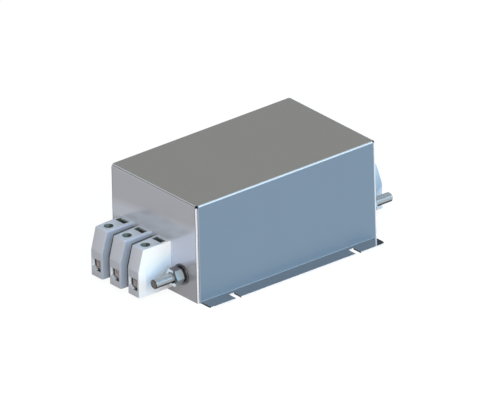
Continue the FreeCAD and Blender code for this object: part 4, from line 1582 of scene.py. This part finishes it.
@dataclass(frozen=True)
class Lamp:
    """Soft lamp far away: where it stands, its tint, level and width."""

    name: str
    towards: tuple[float, float, float]
    color: Color
    level: float
    width: float

    def build(self) -> None:
        """Put the lamp in the scene."""
        data = bpy.data.lights.new(self.name, "SUN")
        data.color = self.color
        data.energy = self.level
        data.angle = math.radians(self.width)
        made = bpy.data.objects.new(self.name, data)
        made.rotation_mode = "QUATERNION"
        made.rotation_quaternion = Vector(self.towards).to_track_quat("Z", "Y")
        bpy.context.scene.collection.objects.link(made)


@dataclass
class Studio:
    """White floor, soft lamps, pale surroundings and the camera."""

    azimuth: float = -38.453
    elevation: float = 25.642
    roll: float = -1.446
    pixel: float = 0.9958 * MM
    image_width: int = 480
    shift_right: float = -4.073
    shift_up: float = 0.557
    distance: float = 2.0
    clip: Point = (0.05, 20.0)
    floor_half: float = 6.0
    floor_drop: float = 0.1 * MM
    floor_tone: float = 0.30
    shadow_tone: float = 0.10
    floor_glow: float = 0.93
    ambient: float = 0.40
    ambient_tint: Color = (0.78, 0.90, 1.0)
    sky: tuple[tuple[float, Color], ...] = (
        (0.12, (1.0, 1.0, 1.0)), (0.40, (0.55, 0.55, 0.54)), (0.75, (0.22, 0.22, 0.22)),
    )
    lamps: tuple[Lamp, ...] = (
        Lamp("key_lamp", (-0.55, -0.70, 0.45), (1.0, 0.98, 0.97), 2.1, 50.0),
        Lamp("side_lamp", (0.45, -0.85, 0.45), (0.35, 0.68, 1.0), 1.2, 45.0),
        Lamp("top_lamp", (0.10, 0.10, 1.0), (0.96, 0.98, 1.0), 0.5, 60.0),
    )

    def build(self) -> None:
        """Set up everything around the part."""
        self.make_camera()
        self.make_floor()
        self.make_world()
        for lamp in self.lamps:
            lamp.build()
        bpy.context.scene.view_settings.view_transform = "Standard"

    def make_camera(self) -> None:
        """Orthographic camera at the photograph's angle."""
        low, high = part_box("housing")
        turn, rise = math.radians(self.azimuth), math.radians(self.elevation)
        back = Vector((math.sin(turn) * math.cos(rise), -math.cos(turn) * math.cos(rise), math.sin(rise)))
        right = Vector((math.cos(turn), math.sin(turn), 0))
        up = back.cross(right)
        lean = math.radians(self.roll)
        tilted_right = right * math.cos(lean) + up * math.sin(lean)
        tilted_up = up * math.cos(lean) - right * math.sin(lean)
        shift = (tilted_right * self.shift_right + tilted_up * self.shift_up) * self.pixel
        data = bpy.data.cameras.new("camera")
        data.type = "ORTHO"
        data.ortho_scale = self.pixel * self.image_width
        data.clip_start, data.clip_end = self.clip
        camera = bpy.data.objects.new("camera", data)
        place = Matrix((tilted_right, tilted_up, back)).transposed().to_4x4()
        place.translation = UP * (high.z / 2) + shift + back * self.distance
        camera.matrix_world = place
        bpy.context.scene.collection.objects.link(camera)
        bpy.context.scene.camera = camera

    def make_floor(self) -> None:
        """Pale floor that looks white, keeps a faint shadow and is clear from below."""
        mesh = bmesh.new()
        bmesh.ops.create_grid(mesh, x_segments=1, y_segments=1, size=self.floor_half)
        material = bpy.data.materials.new("white floor")
        floor = Solid(mesh).as_object("floor", [material])
        floor.location.z = -self.floor_drop
        work = NodeWork.cleared(material)
        plain, faint = (
            work.add("ShaderNodeBsdfDiffuse", (3, row), {"Color": (tone, tone, tone, 1.0)}).outputs[0]
            for row, tone in enumerate((self.floor_tone, self.shadow_tone))
        )
        glow = work.add("ShaderNodeEmission", (3, 2), {"Strength": self.floor_glow}).outputs[0]
        shown = work.add("ShaderNodeAddShader", (4, 1), {0: faint, 1: glow}).outputs[0]
        upper = work.add("ShaderNodeMixShader", (5, 0), {0: work.seen(), 1: plain, 2: shown}).outputs[0]
        below = work.add("ShaderNodeNewGeometry", (5, 1)).outputs["Backfacing"]
        clear = work.add("ShaderNodeBsdfTransparent", (5, 2)).outputs[0]
        both = work.add("ShaderNodeMixShader", (6, 0), {0: below, 1: upper, 2: clear}).outputs[0]
        work.add("ShaderNodeOutputMaterial", (7, 0), {"Surface": both})

    def make_world(self) -> None:
        """White surroundings that darken overhead in reflections, dimmer as a light."""
        world = bpy.data.worlds.new("studio")
        bpy.context.scene.world = world
        work = NodeWork.cleared(world)
        place = work.add("ShaderNodeTexCoord", (0, 0)).outputs["Generated"]
        height = work.add("ShaderNodeSeparateXYZ", (1, 0), {0: place}).outputs["Z"]
        ramp = work.add("ShaderNodeValToRGB", (2, 0), {"Fac": height})
        elements = ramp.color_ramp.elements
        elements.new(self.sky[-1][0])
        for element, (position, color) in zip(elements, self.sky):
            element.position = position
            element.color = (*color, 1.0)
        straight = work.add("ShaderNodeLightPath", (2, 2)).outputs["Is Camera Ray"]
        white = {"Fac": straight, "Color1": ramp.outputs["Color"], "Color2": (1.0, 1.0, 1.0, 1.0)}
        shown = work.add("ShaderNodeMixRGB", (4, 0), white).outputs["Color"]
        seen = work.add("ShaderNodeBackground", (5, 0), {"Color": shown}).outputs[0]
        dim = {"Color": (*self.ambient_tint, 1.0), "Strength": self.ambient}
        light = work.add("ShaderNodeBackground", (5, 1), dim).outputs[0]
        mix = work.add("ShaderNodeMixShader", (6, 0), {0: work.seen(), 1: light, 2: seen}).outputs[0]
        work.add("ShaderNodeOutputWorld", (7, 0), {"Surface": mix})


def main() -> None:
    """Build the part piece by piece, then the studio."""
    logging.basicConfig(level=logging.INFO, format="%(name)s %(message)s")
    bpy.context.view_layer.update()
    Housing().build()
    for end in End:
        TerminalRow(end).build()
    GroundPosts().build()
    for kept in KEPT_NODES:
        kept.build()
    Studio().build()


if __name__ == "__main__":
    main()
